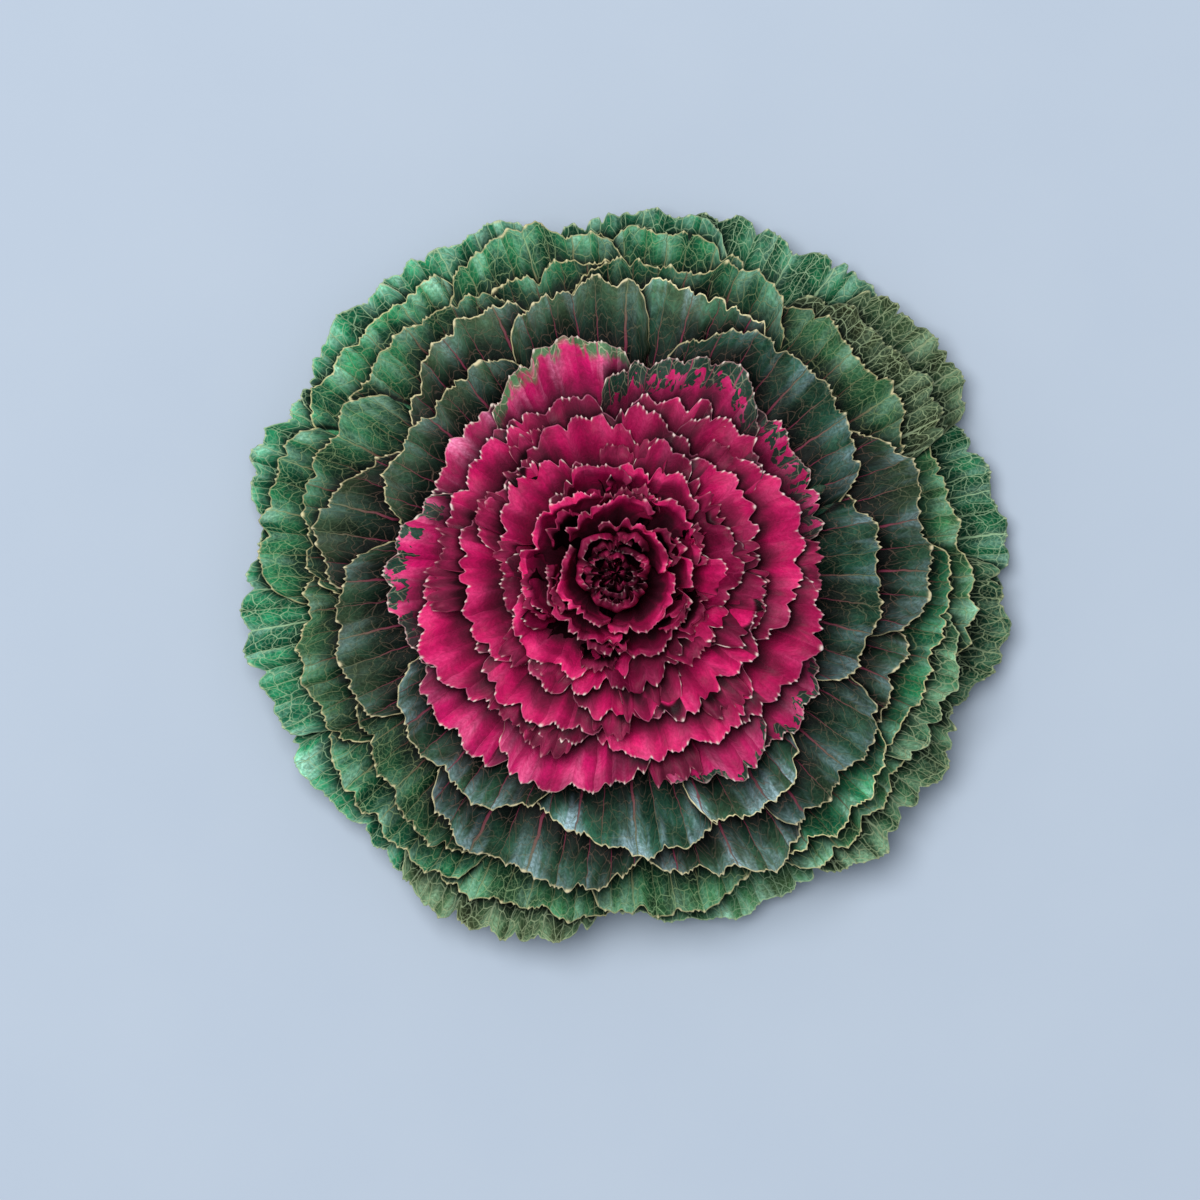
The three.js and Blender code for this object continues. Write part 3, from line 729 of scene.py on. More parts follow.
        thin = smooth_step(0, 12, self.inset)
        half = (MARGIN_THICKNESS + (BLADE_THICKNESS - MARGIN_THICKNESS) * thin) / 2
        half = half + 0.7 * style.bead * tip * np.exp(-self.inset / 0.9)
        under = half + self.rib(angle, radius)

        def placed(off: np.ndarray) -> np.ndarray:
            """Points moved off the middle surface, along its normal, by off millimetres.

            Args:
                off: How far each point of the grid is moved.

            Returns:
                The moved points.
            """
            reach = outward - off * np.sin(slope)
            return np.stack([
                reach * np.cos(angle), reach * np.sin(angle), height + off * np.cos(slope),
            ], axis=-1)

        lower, upper = placed(-under), placed(half)
        middle = placed(np.zeros_like(half))
        bulge = 0.25 + style.bead * tip
        edge_reach = outward[-1] + bulge * np.cos(slope[-1])
        edge = np.stack([
            edge_reach * np.cos(angle[-1]), edge_reach * np.sin(angle[-1]),
            height[-1] + bulge * np.sin(slope[-1]),
        ], axis=-1)
        points = np.concatenate([lower, edge[None], upper[::-1]])

        steps = np.linalg.norm(np.diff(middle, axis=0), axis=-1)
        inward = np.concatenate([np.cumsum(steps[::-1], axis=0)[::-1], steps[:1] * 0])
        lean = np.gradient(self.margin, self.arc)
        from_edge = inward / np.sqrt(1 + lean ** 2)
        if row.kind in GREEN_KINDS:
            beside = (1 - np.abs(self.across)) * self.span * spread * radius
            from_edge = np.minimum(from_edge, beside)
        turn = np.linspace(0, TAU, TURN_STEPS + 1)
        # How far each point lies beyond the margins of the leaves above; the finish paints shade by
        # it.
        clear = radius - np.interp(angle % TAU, turn, cover)
        offsets = np.random.default_rng(self.seed + 9).uniform(0.06, 0.8, 2)
        plan = np.stack([
            np.broadcast_to(self.arc * MM + offsets[0], inward.shape),
            (inward[:1].mean() - inward) * MM + offsets[1],
        ], axis=-1)

        def wrapped(grid: np.ndarray) -> np.ndarray:
            """A value of the grid for the lower face, the edge and the upper face."""
            return np.concatenate([grid, grid[-1:], grid[::-1]]).reshape(-1)

        ones = np.ones_like(inward)
        values = {
            "edge_mm": wrapped(from_edge + INNER_RIM_HIDDEN * (1 - self.beads)),
            "inward_mm": wrapped(inward * (1 + CUP_SHADE * profile.cup)),
            "fold": wrapped((self.fold_phase() + 20) * ones),
            "tip": wrapped(tip * self.beads * np.exp(-(self.inset / 0.6) ** 2)),
            "crest": wrapped(lift / style.ruffle_height),
            "clear_mm": wrapped(clear),
            "tone": wrapped(row.tone * ones),
            "olive": wrapped(row.olive * ones),
            "wax_and_sheen": wrapped(row.wax_and_sheen * ones),
            "blotch_mm": wrapped(row.blotch * ones),
            "blotch_light": wrapped(row.blotch_light * ones),
        }
        wrapped_plan = np.concatenate([plan, plan[-1:], plan[::-1]]).reshape(-1, 2)
        quads, triangles = self.faces(len(self.along), len(self.across))
        return Shell(points.reshape(-1, 3), quads, triangles, wrapped_plan, values)

    @staticmethod
    def faces(rows: int, columns: int) -> tuple[np.ndarray, np.ndarray]:
        """The faces of a blade's grid.

        Args:
            rows: Rows on each face of the blade.
            columns: Columns across it.

        Returns:
            Quads and triangles, as rows of corner numbers, that face outwards.
        """
        loop = 2 * rows + 1
        number = np.arange(loop * columns).reshape(loop, columns)
        after = np.roll(number, -1, axis=0)
        skin = np.stack([number[:, :-1], number[:, 1:], after[:, 1:], after[:, :-1]], axis=-1)
        low, high = number[:rows], number[::-1][:rows]
        first = np.stack([low[:-1, 0], low[1:, 0], high[1:, 0], high[:-1, 0]], axis=-1)
        last = np.stack([low[:-1, -1], high[:-1, -1], high[1:, -1], low[1:, -1]], axis=-1)
        ends = np.array([
            [low[-1, 0], number[rows, 0], high[-1, 0]],
            [low[-1, -1], high[-1, -1], number[rows, -1]],
        ])
        return np.concatenate([skin.reshape(-1, 4), first, last]), ends


def linear(colour: str) -> tuple[float, float, float, float]:
    """The linear colour of an sRGB hex value: c / 12.92 below 0.04045, and otherwise
    ((c + 0.055) / 1.055) ^ 2.4, for each channel c from 0 to 1.

    Args:
        colour: The colour as #rrggbb.

    Returns:
        Its linear red, green and blue, and 1 for its alpha.
    """
    parts = [int(colour[start:start + 2], 16) / 255 for start in (1, 3, 5)]
    turned = [c / 12.92 if c <= 0.04045 else ((c + 0.055) / 1.055) ** 2.4 for c in parts]
    return (*turned, 1.0)


# Settings that many nodes share
(ADD, SUBTRACT, MULTIPLY, DIVIDE, MULTIPLY_ADD, FLOOR, FRACT, ABSOLUTE, MAXIMUM, MINIMUM,
 SCALE) = ({"operation": name} for name in (
    "ADD", "SUBTRACT", "MULTIPLY", "DIVIDE", "MULTIPLY_ADD", "FLOOR", "FRACT", "ABSOLUTE",
    "MAXIMUM", "MINIMUM", "SCALE"))
SMOOTH = {"interpolation_type": "SMOOTHSTEP"}
COLOURS = {"data_type": "RGBA"}
FLAT = {"noise_dimensions": "2D"}
LINE = {"noise_dimensions": "1D"}


def add(
    tree: bpy.types.NodeTree, kind: str, settings: dict, *numbered: object, **named: object
) -> bpy.types.Node:
    """Adds one node with its settings and its links.

    Args:
        tree: The material's node tree.
        kind: The node's type, without its ShaderNode prefix.
        settings: The node's own settings.
        *numbered: Values, sockets or nodes for the first inputs in use, in their order. A
            node stands for its first output in use.
        **named: The same by input name, with spaces as underscores.

    Returns:
        The node.
    """
    node = tree.nodes.new("ShaderNode" + kind)
    for key, value in settings.items():
        setattr(node, key, value)
    sockets = [socket for socket in node.inputs if socket.enabled][:len(numbered)]
    sockets += [node.inputs[key.replace("_", " ")] for key in named]
    for socket, value in zip(sockets, (*numbered, *named.values())):
        if isinstance(value, bpy.types.Node):
            value = next(output for output in value.outputs if output.enabled)
        if isinstance(value, bpy.types.NodeSocket):
            tree.links.new(value, socket)
        else:
            socket.default_value = value
    return node


def new_material(name: str) -> tuple[bpy.types.Material, bpy.types.NodeTree]:
    """An empty material.

    Args:
        name: The material's name.

    Returns:
        The material and its node tree.
    """
    made = bpy.data.materials.new(name)
    made.use_nodes = True
    made.node_tree.nodes.clear()
    return made, made.node_tree


def cell_scale(across: float, down: float) -> tuple[float, float, float]:
    """The scale at which a pattern's cell on the map is across by down millimetres."""
    return 1 / (across * MM), 1 / (down * MM), 1


# Sizes of the leaves' patterns, in millimetres; a pair is across and along the leaf.
WOBBLE_SIZE = 7
PATCH_SIZE = 16
MOTTLE_SIZE = 1.3
STREAK_CELL = (1.3, 17)
SHEEN_CELL = (3.5, 20)
BLOTCH_CELL = (5, 8)
FINE_NET_CELL = (1.9, 2.3)
BRANCH_GAP = 7.0

# Flesh, bloom and veins of a green blotch: where it is dark, and where it is fresh
BLOTCH_DARK, BLOTCH_FRESH, BLOTCH_BLOOM = "#17372b", "#456b45", "#7b9a8c"
BLOTCH_VEIN_DARK, BLOTCH_VEIN_FRESH, BLOTCH_MAIN_VEIN = "#7d9673", "#b2c49a", "#8e4258"


@dataclass(frozen=True)
class LeafFinish:
    """The finish of a living leaf: waxy skin over coloured flesh, with veins and a margin.

    Light and shade are painted into its colour as well: shade toward the root, under and
    beside the margins of the leaves above and in deep recesses, and highlights at the rim,
    on ruffle crests and on one flank of each fold. Widths and sizes are millimetres on the leaf.
    """

    name: str
    slot: str
    bright: str
    deep: str
    # Colour toward the root and under the leaves above: partly the leaf's own, partly painted
    # shade.
    root_and_shade: str
    base_from: float
    base_full: float
    shade_reach: float
    bloom: str
    bloom_amount: float
    olive: str
    vein: str
    vein_base: str
    vein_amount: float
    vein_width: float
    branch_amount: float
    net_amount: float
    net_cell: float
    net_stretch: float
    margin: str
    margin_width: float
    margin_amount: float
    bead: str
    crest_light: float
    streaks: float
    facets: float
    rim_light: float
    roughness: float

    def material(self, spacing: float) -> bpy.types.Material:
        """Builds the finish from the blade's map and values.

        Args:
            spacing: How far apart the main veins reach the margin, in millimetres.

        Returns:
            The material.
        """
        made, tree = new_material(self.name)
        plan = add(tree, "UVMap", {"uv_map": "blade"})
        value = {
            key: add(tree, "Attribute", {"attribute_name": key}).outputs["Fac"]
            for key in ("edge_mm", "inward_mm", "clear_mm", "fold", "tip", "crest", "tone",
                        "olive", "wax_and_sheen", "blotch_mm", "blotch_light")
        }

        def cell_edges(across: float, down: float, low: float, high: float) -> bpy.types.Node:
            """Lines along the edges of irregular cells, which fade from low to high mm.

            Args:
                across: The cells' width, in millimetres.
                down: Their length, in millimetres.
                low: Distance from an edge up to which a line is full.
                high: Distance at which it has gone.

            Returns:
                The node whose result is the lines' strength, from 0 to 1.
            """
            gap = add(tree, "TexVoronoi",
                      {"voronoi_dimensions": "2D", "feature": "DISTANCE_TO_EDGE"},
                      Vector=add(tree, "Mapping", {}, bent, Scale=cell_scale(across, down)),
                      Scale=1.0, Randomness=0.9)
            return add(tree, "MapRange", SMOOTH, gap, low / across, high / across, 1.0, 0.0)

        # The map is bent a little, so that no vein is straight.
        wobble = add(tree, "TexNoise", FLAT, plan, Scale=1 / (WOBBLE_SIZE * MM), Detail=1.5,
                     Roughness=0.6).outputs["Color"]
        centred = add(tree, "VectorMath", SUBTRACT, wobble, (0.5, 0.5, 0.5))
        moved = add(tree, "VectorMath", MULTIPLY_ADD, centred, (4 * MM, 4 * MM, 0), plan)
        bent = add(tree, "VectorMath", MULTIPLY_ADD, centred, (1.6 * MM, 1.6 * MM, 0), plan)
        sway = add(tree, "SeparateXYZ", {}, Vector=centred)
        patches, mottle = (
            add(tree, "TexNoise", FLAT, plan, Scale=1 / (size * MM), Detail=3.0, Roughness=0.6)
            for size in (PATCH_SIZE, MOTTLE_SIZE))
        streak = add(tree, "TexNoise", FLAT,
                     add(tree, "Mapping", {}, moved, Scale=cell_scale(*STREAK_CELL)), Scale=1.0,
                     Detail=3.0, Roughness=0.6)
        sheen = add(tree, "TexNoise", FLAT,
                    add(tree, "Mapping", {}, bent, Scale=cell_scale(*SHEEN_CELL)), Scale=1.0,
                    Detail=2.0, Roughness=0.6)

        # Main veins fan out from the root in the blade's folds, and taper to the margin.
        column = add(tree, "Math", MULTIPLY_ADD, sway.outputs["X"], 1.8 / spacing, value["fold"])
        turns = add(tree, "Math", FRACT, add(tree, "Math", ADD, column, 0.5))
        away = add(tree, "Math", MULTIPLY,
                   add(tree, "Math", ABSOLUTE, add(tree, "Math", SUBTRACT, turns, 0.5)), spacing)
        stout = add(tree, "TexWhiteNoise", LINE,
                    W=add(tree, "Math", ADD,
                          add(tree, "Math", FLOOR, add(tree, "Math", ADD, column, 0.5)), 0.3))
        stout = add(tree, "MapRange", SMOOTH, stout, 0.3, 1.0, 0.5, 1.5)
        half = add(tree, "MapRange", SMOOTH, value["inward_mm"], -10, 34, 0.2 * self.vein_width,
                   self.vein_width)
        half = add(tree, "Math", MULTIPLY, half, stout)
        main = add(tree, "MapRange", SMOOTH, add(tree, "Math", SUBTRACT, half, away), -0.18, 0.14,
                   0.0, 1.0)

        # Each fold between two main veins is a facet with painted light toward one of them and
        # painted shade toward the other.
        fold = add(tree, "TexWhiteNoise", LINE, W=add(tree, "Math", FLOOR, column)).outputs
        lean = add(tree, "SeparateXYZ", {}, Vector=fold["Color"])
        flank = add(tree, "Math", MULTIPLY_ADD, add(tree, "Math", FRACT, column), 2.0, -1.0)
        tilt = add(tree, "Math", MULTIPLY_ADD, lean.outputs["X"], 3.0, -1.5)
        painted_fold_light = add(tree, "Math", MULTIPLY, flank, tilt)
        painted_fold_light = add(tree, "Math", ADD, painted_fold_light,
                    add(tree, "Math", MULTIPLY_ADD, lean.outputs["Y"], 1.6, -0.8))
        painted_fold_light = add(tree, "Math", MULTIPLY, painted_fold_light,
                    add(tree, "MapRange", SMOOTH, value["inward_mm"], 14, 40, 1.0, 0.4))

        # Branches leave each side of a main vein in a V towards the margin.
        own = add(tree, "TexWhiteNoise", LINE,
                  W=add(tree, "Math", FLOOR, add(tree, "Math", MULTIPLY, column, 2.0)))
        climb = add(tree, "Math", MULTIPLY_ADD, away, 1.1, value["inward_mm"])
        climb = add(tree, "Math", MULTIPLY_ADD, sway.outputs["Y"], 4.0, climb)
        step = add(tree, "Math", FRACT, add(tree, "Math", MULTIPLY_ADD, climb, 1 / BRANCH_GAP, own))
        off = add(tree, "Math", MULTIPLY,
                  add(tree, "Math", ABSOLUTE, add(tree, "Math", SUBTRACT, step, 0.5)), BRANCH_GAP)
        branch = add(tree, "Math", MULTIPLY,
                     add(tree, "MapRange", SMOOTH, off, 0.1, 0.42, 1.0, 0.0),
                     add(tree, "MapRange", SMOOTH, away, 0.0, 0.5 * spacing, 1.0, 0.45))
        net = cell_edges(self.net_cell, self.net_stretch * self.net_cell, 0.06, 0.25)
        fine = cell_edges(*FINE_NET_CELL, 0.05, 0.22)

        colour = add(tree, "Mix", COLOURS, add(tree, "MapRange", SMOOTH, patches, 0.35, 0.65, 0, 1),
                     linear(self.deep), linear(self.bright))
        aged = add(tree, "Math", MULTIPLY, value["olive"],
                   add(tree, "MapRange", SMOOTH, value["inward_mm"], 3, 22, 0.9, 0.2))
        colour = add(tree, "Mix", COLOURS, aged, colour, linear(self.olive))
        # Bloom: the wax's own patches and streaks, with painted sheen on the ruffle crests and on
        # the lit flank of each fold; it thins toward the root.
        raised = add(tree, "Math", MULTIPLY_ADD, value["crest"], 0.12,
                     add(tree, "Math", MULTIPLY_ADD, patches, 0.5, 0.25))
        raised = add(tree, "Math", MULTIPLY_ADD, add(tree, "Math", SUBTRACT, sheen, 0.5), 1.0,
                     raised)
        raised = add(tree, "Math", MULTIPLY_ADD, painted_fold_light, 0.26, raised)
        raised = add(tree, "Math", MULTIPLY_ADD, value["inward_mm"], -0.016, raised)
        bloom_and_sheen = add(tree, "Math", MULTIPLY,
                   add(tree, "MapRange", SMOOTH, raised, 0.2, 1.0, 0.0, 1.15 * self.bloom_amount),
                   value["wax_and_sheen"])
        bloom_and_sheen = add(tree, "Math", MULTIPLY, bloom_and_sheen,
                   add(tree, "MapRange", SMOOTH, mottle, 0.3, 0.7, 0.8, 1.2))
        colour = add(tree, "Mix", COLOURS, bloom_and_sheen, colour, linear(self.bloom))
        # Brightness: the streaks and mottle are the skin's own; the folds' lit and shaded flanks,
        # the brighter rim, the lighter crests and darker hollows of the ruffles, and part of each
        # leaf's tone are painted light and shade.
        light = add(tree, "Math", MULTIPLY_ADD,
                    add(tree, "MapRange", SMOOTH, streak, 0.25, 0.75, -1.0, 1.0), self.streaks, 1.0)
        light = add(tree, "Math", MULTIPLY, light,
                    add(
                        tree, "MapRange", SMOOTH, mottle, 0.25, 0.75, 0.94 - 1.6 * self.streaks,
                        1.06 + 1.4 * self.streaks))
        light = add(tree, "Math", MULTIPLY, light,
                    add(tree, "Math", MULTIPLY_ADD, painted_fold_light, self.facets, 1.0))
        light = add(tree, "Math", MULTIPLY, light,
                    add(
                        tree, "MapRange", SMOOTH, value["inward_mm"], 0.0, 17.0, 1 + self.rim_light,
                        1 - 0.45 * self.rim_light))
        light = add(tree, "Math", MULTIPLY, light, value["tone"])
        light = add(tree, "Math", MULTIPLY, light,
                    add(
                        tree, "MapRange", SMOOTH, value["crest"], -1.2, 1.2, 1 - self.crest_light,
                        1 + self.crest_light))
        if self.slot == "mixed_leaf":
            run = add(tree, "TexNoise", FLAT,
                      add(tree, "Mapping", {}, moved, Scale=cell_scale(*BLOTCH_CELL)), Scale=1.0,
                      Detail=2.5, Roughness=0.6)
            even = add(tree, "Math", MAXIMUM,
                       add(tree, "Math", SUBTRACT, value["blotch_light"], 0.5),
                       add(tree, "MapRange", SMOOTH, value["blotch_mm"], 5.5, 7, -0.5, 0.6))
            reach = add(tree, "Math", MULTIPLY, value["blotch_mm"],
                        add(tree, "MapRange", SMOOTH, run, 0.36, 0.6, even, 1.7))
            soft = add(tree, "Math", MULTIPLY_ADD, value["blotch_light"], 2.2, 0.25)
            cover = add(tree, "MapRange", SMOOTH,
                        add(
                            tree, "Math", DIVIDE,
                            add(tree, "Math", SUBTRACT, reach, value["inward_mm"]), soft), -1.0,
                        1.0, 0.0, 1.0)
            green = add(tree, "Mix", COLOURS, value["blotch_light"], linear(BLOTCH_DARK),
                        linear(BLOTCH_FRESH))
            green = add(tree, "Mix", COLOURS, add(tree, "Math", MULTIPLY, bloom_and_sheen, 0.35), green,
                        linear(BLOTCH_BLOOM))
            green_vein = add(tree, "Mix", COLOURS, value["blotch_light"], linear(BLOTCH_VEIN_DARK),
                             linear(BLOTCH_VEIN_FRESH))
            green = add(tree, "Mix", COLOURS, add(tree, "Math", MULTIPLY, net, 0.5), green,
                        green_vein)
            green = add(tree, "Mix", COLOURS, add(tree, "Math", MULTIPLY, branch, 0.35), green,
                        green_vein)
            green = add(tree, "Mix", COLOURS, add(tree, "Math", MULTIPLY, main, 0.8), green,
                        linear(BLOTCH_MAIN_VEIN))
            colour = add(tree, "Mix", COLOURS, cover, colour, green)

        colour = add(tree, "VectorMath", SCALE, colour, light)
        colour = add(tree, "Mix", COLOURS, add(tree, "Math", MULTIPLY, fine, 0.4 * self.net_amount),
                     colour, linear(self.vein))
        # Toward the root the colour turns to the dark root colour: partly the leaf's own darker
        # base, partly painted shade in the recesses between the leaves.
        depth = add(tree, "Math", ADD, value["inward_mm"],
                    add(tree, "Math", MULTIPLY_ADD, patches, 12.0, -6.0))
        deep = add(tree, "MapRange", SMOOTH, depth, self.base_from, self.base_full, 0.0, 0.92)
        # Painted shade: within shade_reach of the margins of the leaves above, the colour turns
        # toward the dark root colour.
        painted_shade_near_cover = add(tree, "MapRange", SMOOTH,
                     add(tree, "Math", MULTIPLY_ADD, patches, 4.0, value["clear_mm"]), 1.0,
                     self.shade_reach + 2.0, 0.94, 0.0)
        # Where a leaf lies more than a few millimetres under the margins above, the painted shade
        # and the painted contact shadow fade out again.
        under = add(tree, "MapRange", SMOOTH, value["clear_mm"], -4.5, -2.0, 0.0, 1.0)
        painted_shade_near_cover = add(tree, "Math", MULTIPLY, painted_shade_near_cover, under)
        colour = add(tree, "Mix", COLOURS, add(tree, "Math", MAXIMUM, deep, painted_shade_near_cover), colour,
                     linear(self.root_and_shade))
        # Veins take their darker root colour toward the root, which is their own, and near the
        # margins of the leaves above, which is painted shade.
        vein_root_and_shade = add(tree, "Math", MAXIMUM,
                       add(
                           tree, "MapRange", SMOOTH, value["inward_mm"], 3, self.base_full, 0.0,
                           1.0),
                       add(
                           tree, "MapRange", SMOOTH, value["clear_mm"], 0, 1.8 * self.shade_reach,
                           1.0, 0.0))
        vein_colour = add(tree, "Mix", COLOURS, vein_root_and_shade, linear(self.vein), linear(self.vein_base))
        side_colour = add(tree, "Mix", COLOURS, add(tree, "Math", MULTIPLY, vein_root_and_shade, 0.55),
                          linear(self.vein), linear(self.vein_base))
        colour = add(tree, "Mix", COLOURS, add(tree, "Math", MULTIPLY, net, self.net_amount),
                     colour, side_colour)
        colour = add(tree, "Mix", COLOURS, add(tree, "Math", MULTIPLY, branch, self.branch_amount),
                     colour, side_colour)
        colour = add(tree, "Mix", COLOURS, add(tree, "Math", MULTIPLY, main, self.vein_amount),
                     colour, vein_colour)

        # Painted shade in the deep recesses: far in from the margin the colour darkens to about a
        # fifth.
        colour = add(tree, "VectorMath", SCALE, colour,
                     add(
                         tree, "MapRange", SMOOTH, value["inward_mm"], 0.8 * self.base_full,
                         1.7 * self.base_full, 1.0, 0.22))
        # Painted contact shadow: right next to the margin of a leaf above, the colour darkens to a
        # quarter.
        painted_contact_shadow = add(tree, "MapRange", SMOOTH, value["clear_mm"], -0.8, 3.0, 0.25, 1.0)
        colour = add(tree, "VectorMath", SCALE, colour,
                     add(tree, "Math", MAXIMUM, painted_contact_shadow, add(tree, "Math", SUBTRACT, 1.0, under)))
        worn = add(tree, "Math", MULTIPLY,
                   add(tree, "MapRange", SMOOTH, mottle, 0.3, 0.6, 0.5, 1.0), self.margin_amount)
        rim = add(tree, "Math", MULTIPLY, worn,
                  add(
                      tree, "MapRange", SMOOTH, value["edge_mm"], 0.5 * self.margin_width,
                      1.3 * self.margin_width, 1.0, 0.0))
        colour = add(tree, "Mix", COLOURS, rim, colour,
                     add(tree, "VectorMath", SCALE, linear(self.margin)[:3], value["tone"]))
        colour = add(tree, "Mix", COLOURS,
                     add(
                         tree, "Math", MINIMUM, add(tree, "Math", MULTIPLY, value["tip"], 1.5),
                         1.0), colour, linear(self.bead))

        height = add(tree, "Math", MULTIPLY_ADD, main, -self.vein_amount,
                     add(tree, "Math", MULTIPLY, mottle, 0.4))
        height = add(tree, "Math", MULTIPLY_ADD, branch, -self.branch_amount, height)
        height = add(tree, "Math", MULTIPLY_ADD, net, -1.2 * self.net_amount, height)
        bump = add(tree, "Bump", {}, Strength=0.6, Distance=0.5 * MM, Height=height)
        skin = add(tree, "BsdfPrincipled", {}, Base_Color=colour, Roughness=self.roughness,
                   Specular_IOR_Level=SKIN_GLOSS, Normal=bump.outputs[0])
        add(tree, "OutputMaterial", {}, Surface=skin.outputs[0])
        return made


FINISHES = {
    # Fresh leaf skin with a thin waxy film: satin, clear green, with sunken pale veins.
    Kind.OUTER: LeafFinish(
        "fresh_green_leaf", "green_leaf", "#249160", "#095238", "#06281c", 26, 60, 10,
        "#93bfae", 0.48, "#56623a", "#b8dcae", "#8fb088", 0.85, 0.42, 0.24, 0.6, 5.0, 1.4,
        "#b2cb9c", 0.45, 0.7, "#c8d6ac", 0.28, 0.12, 0.24, 0.25, 0.5),
    # Crinkled old leaf skin: matt, olive, with a pale net pressed into it.
    Kind.NETTED: LeafFinish(
        "netted_olive_leaf", "netted_leaf", "#22563b", "#0b2c20", "#06180f", 26, 60, 9,
        "#7a9c80", 0.36, "#4b5030", "#a6b98c", "#8b9c7e", 0.85, 0.5, 0.5, 0.74, 4.2, 1.7,
        "#a6b38a", 0.5, 0.6, "#bcc294", 0.3, 0.12, 0.28, 0.25, 0.6),
    # Grown leaf skin: satin mid green with a greyish bloom, pale veins and a cream margin.
    Kind.GREEN: LeafFinish(
        "mid_green_leaf", "green_leaf", "#257e4f", "#09462e", "#031a12", 18, 42, 12,
        "#86b09c", 0.5, "#555d36", "#a4cc94", "#7c7a58", 0.8, 0.4, 0.2, 0.54, 5.4, 1.4,
        "#c2bd8a", 0.45, 0.9, "#e0d7a6", 0.26, 0.11, 0.2, 0.42, 0.5),
    # Older, deeper green leaf skin: satin, red-brown at the lower veins, cream margin.
    Kind.MIDDLE: LeafFinish(
        "deep_green_leaf", "green_leaf", "#1e6c45", "#0a402a", "#030d0b", 14, 34, 14,
        "#7c9f8e", 0.4, "#4a5030", "#94b47e", "#68403c", 0.8, 0.38, 0.22, 0.48, 5.4, 1.4,
        "#c8bf8c", 0.45, 0.95, "#e6dbaa", 0.24, 0.11, 0.19, 0.55, 0.5),
    # Blackish leaf skin under a thick grey wax bloom, with purple-red veins.
    Kind.DARK: LeafFinish(
        "bloomed_dark_leaf", "dark_leaf", "#1c4c3b", "#0c2a20", "#050709", 12, 31, 17,
        "#748892", 0.42, "#444a2d", "#70805e", "#7c2e48", 0.9, 0.48, 0.46, 0.3, 6.4, 1.4,
        "#ccc194", 0.45, 0.95, "#eaddb2", 0.22, 0.11, 0.17, 0.75, 0.48),
    # Magenta leaf skin whose rim is blotched green: satin, with a pink bloom.
    Kind.MIXED: LeafFinish(
        "blotched_magenta_leaf", "mixed_leaf", "#ce1867", "#a01b50", "#351d28", 14, 30, 13,
        "#de8cb2", 0.24, "#8e2452", "#d2427a", "#86143c", 0.3, 0.4, 0.12, 0.1, 5.0, 1.4,
        "#dca8a6", 0.3, 0.55, "#f4e2d4", 0.1, 0.06, 0.12, 0.1, 0.45),
    # Magenta leaf skin, satin, wine red toward the base and darkened there by painted shade, with
    # pale beads on its teeth.
    Kind.HEART: LeafFinish(
        "magenta_heart_leaf", "heart_leaf", "#d01662", "#a71850", "#3a1e28", 11, 26, 14,
        "#dc6c9e", 0.14, "#8e2452", "#cc3c76", "#86143c", 0.25, 0.4, 0.12, 0.08, 5.0, 1.4,
        "#d07f9a", 0.3, 0.5, "#f6e0d8", 0.1, 0.06, 0.12, 0.1, 0.42),
    # Young frilled leaf skin in the others' shade: satin, dull wine red.
    Kind.FRILL: LeafFinish(
        "shaded_wine_frill", "heart_leaf", "#9a1c4c", "#70203c", "#26141a", 4, 12, 4,
        "#b02d5e", 0.26, "#8e2452", "#8e1844", "#3a081a", 0.25, 0.4, 0.1, 0.1, 4.0, 1.4,
        "#a0445e", 0.3, 0.5, "#cf8f98", 0.2, 0.06, 0.1, 0.0, 0.42),
}


def core_shell() -> Shell:
    """The heart's core: a stem with a ribbed round top, in rings from its foot's centre.

    The radius at angle t is R * (1 + 0.06 sin(5t + height / 3)); above the shoulder it
    follows a quarter of an ellipse.

    Returns:
        The shell.
    """
    turn = np.linspace(0, math.pi / 2, 24)
    radius = np.concatenate([[0.02, 6, CORE_RADIUS - 0.3], np.full(10, CORE_RADIUS),
                             CORE_RADIUS * np.cos(turn)[1:-1], [0.02]])[:, None]
    height = np.concatenate([np.full(3, CORE_BOTTOM), np.linspace(CORE_BOTTOM, CORE_SHOULDER, 10),
                             CORE_SHOULDER + (CORE_TOP - CORE_SHOULDER) * np.sin(turn)[1:-1],
                             [CORE_TOP]])[:, None]
    angle = np.linspace(0, TAU, 72, endpoint=False)[None, :]
    reach = radius * (1 + 0.06 * np.sin(5 * angle + height / 3))
    return ring_shell(reach, angle, height * np.ones_like(angle))


def core_material() -> bpy.types.Material:
    """Young kale stem in the heart: moist, dark wine red, finely grained.

    Returns:
        The material.
    """
    made, tree = new_material("dark_wine_stem")
    place = add(tree, "TexCoord", {}).outputs["Object"]
    grain = add(tree, "TexNoise", {}, Vector=place, Scale=1 / (1.5 * MM), Detail=3.0)
    colour = add(tree, "Mix", COLOURS, grain, linear("#14040a"), linear("#3a0a1c"))
    bump = add(tree, "Bump", {}, Strength=0.4, Distance=0.4 * MM, Height=grain)
    stem = add(tree, "BsdfPrincipled", {}, Base_Color=colour, Roughness=0.5,
               Specular_IOR_Level=SKIN_GLOSS, Normal=bump.outputs[0])
    add(tree, "OutputMaterial", {}, Surface=stem.outputs[0])
    return made


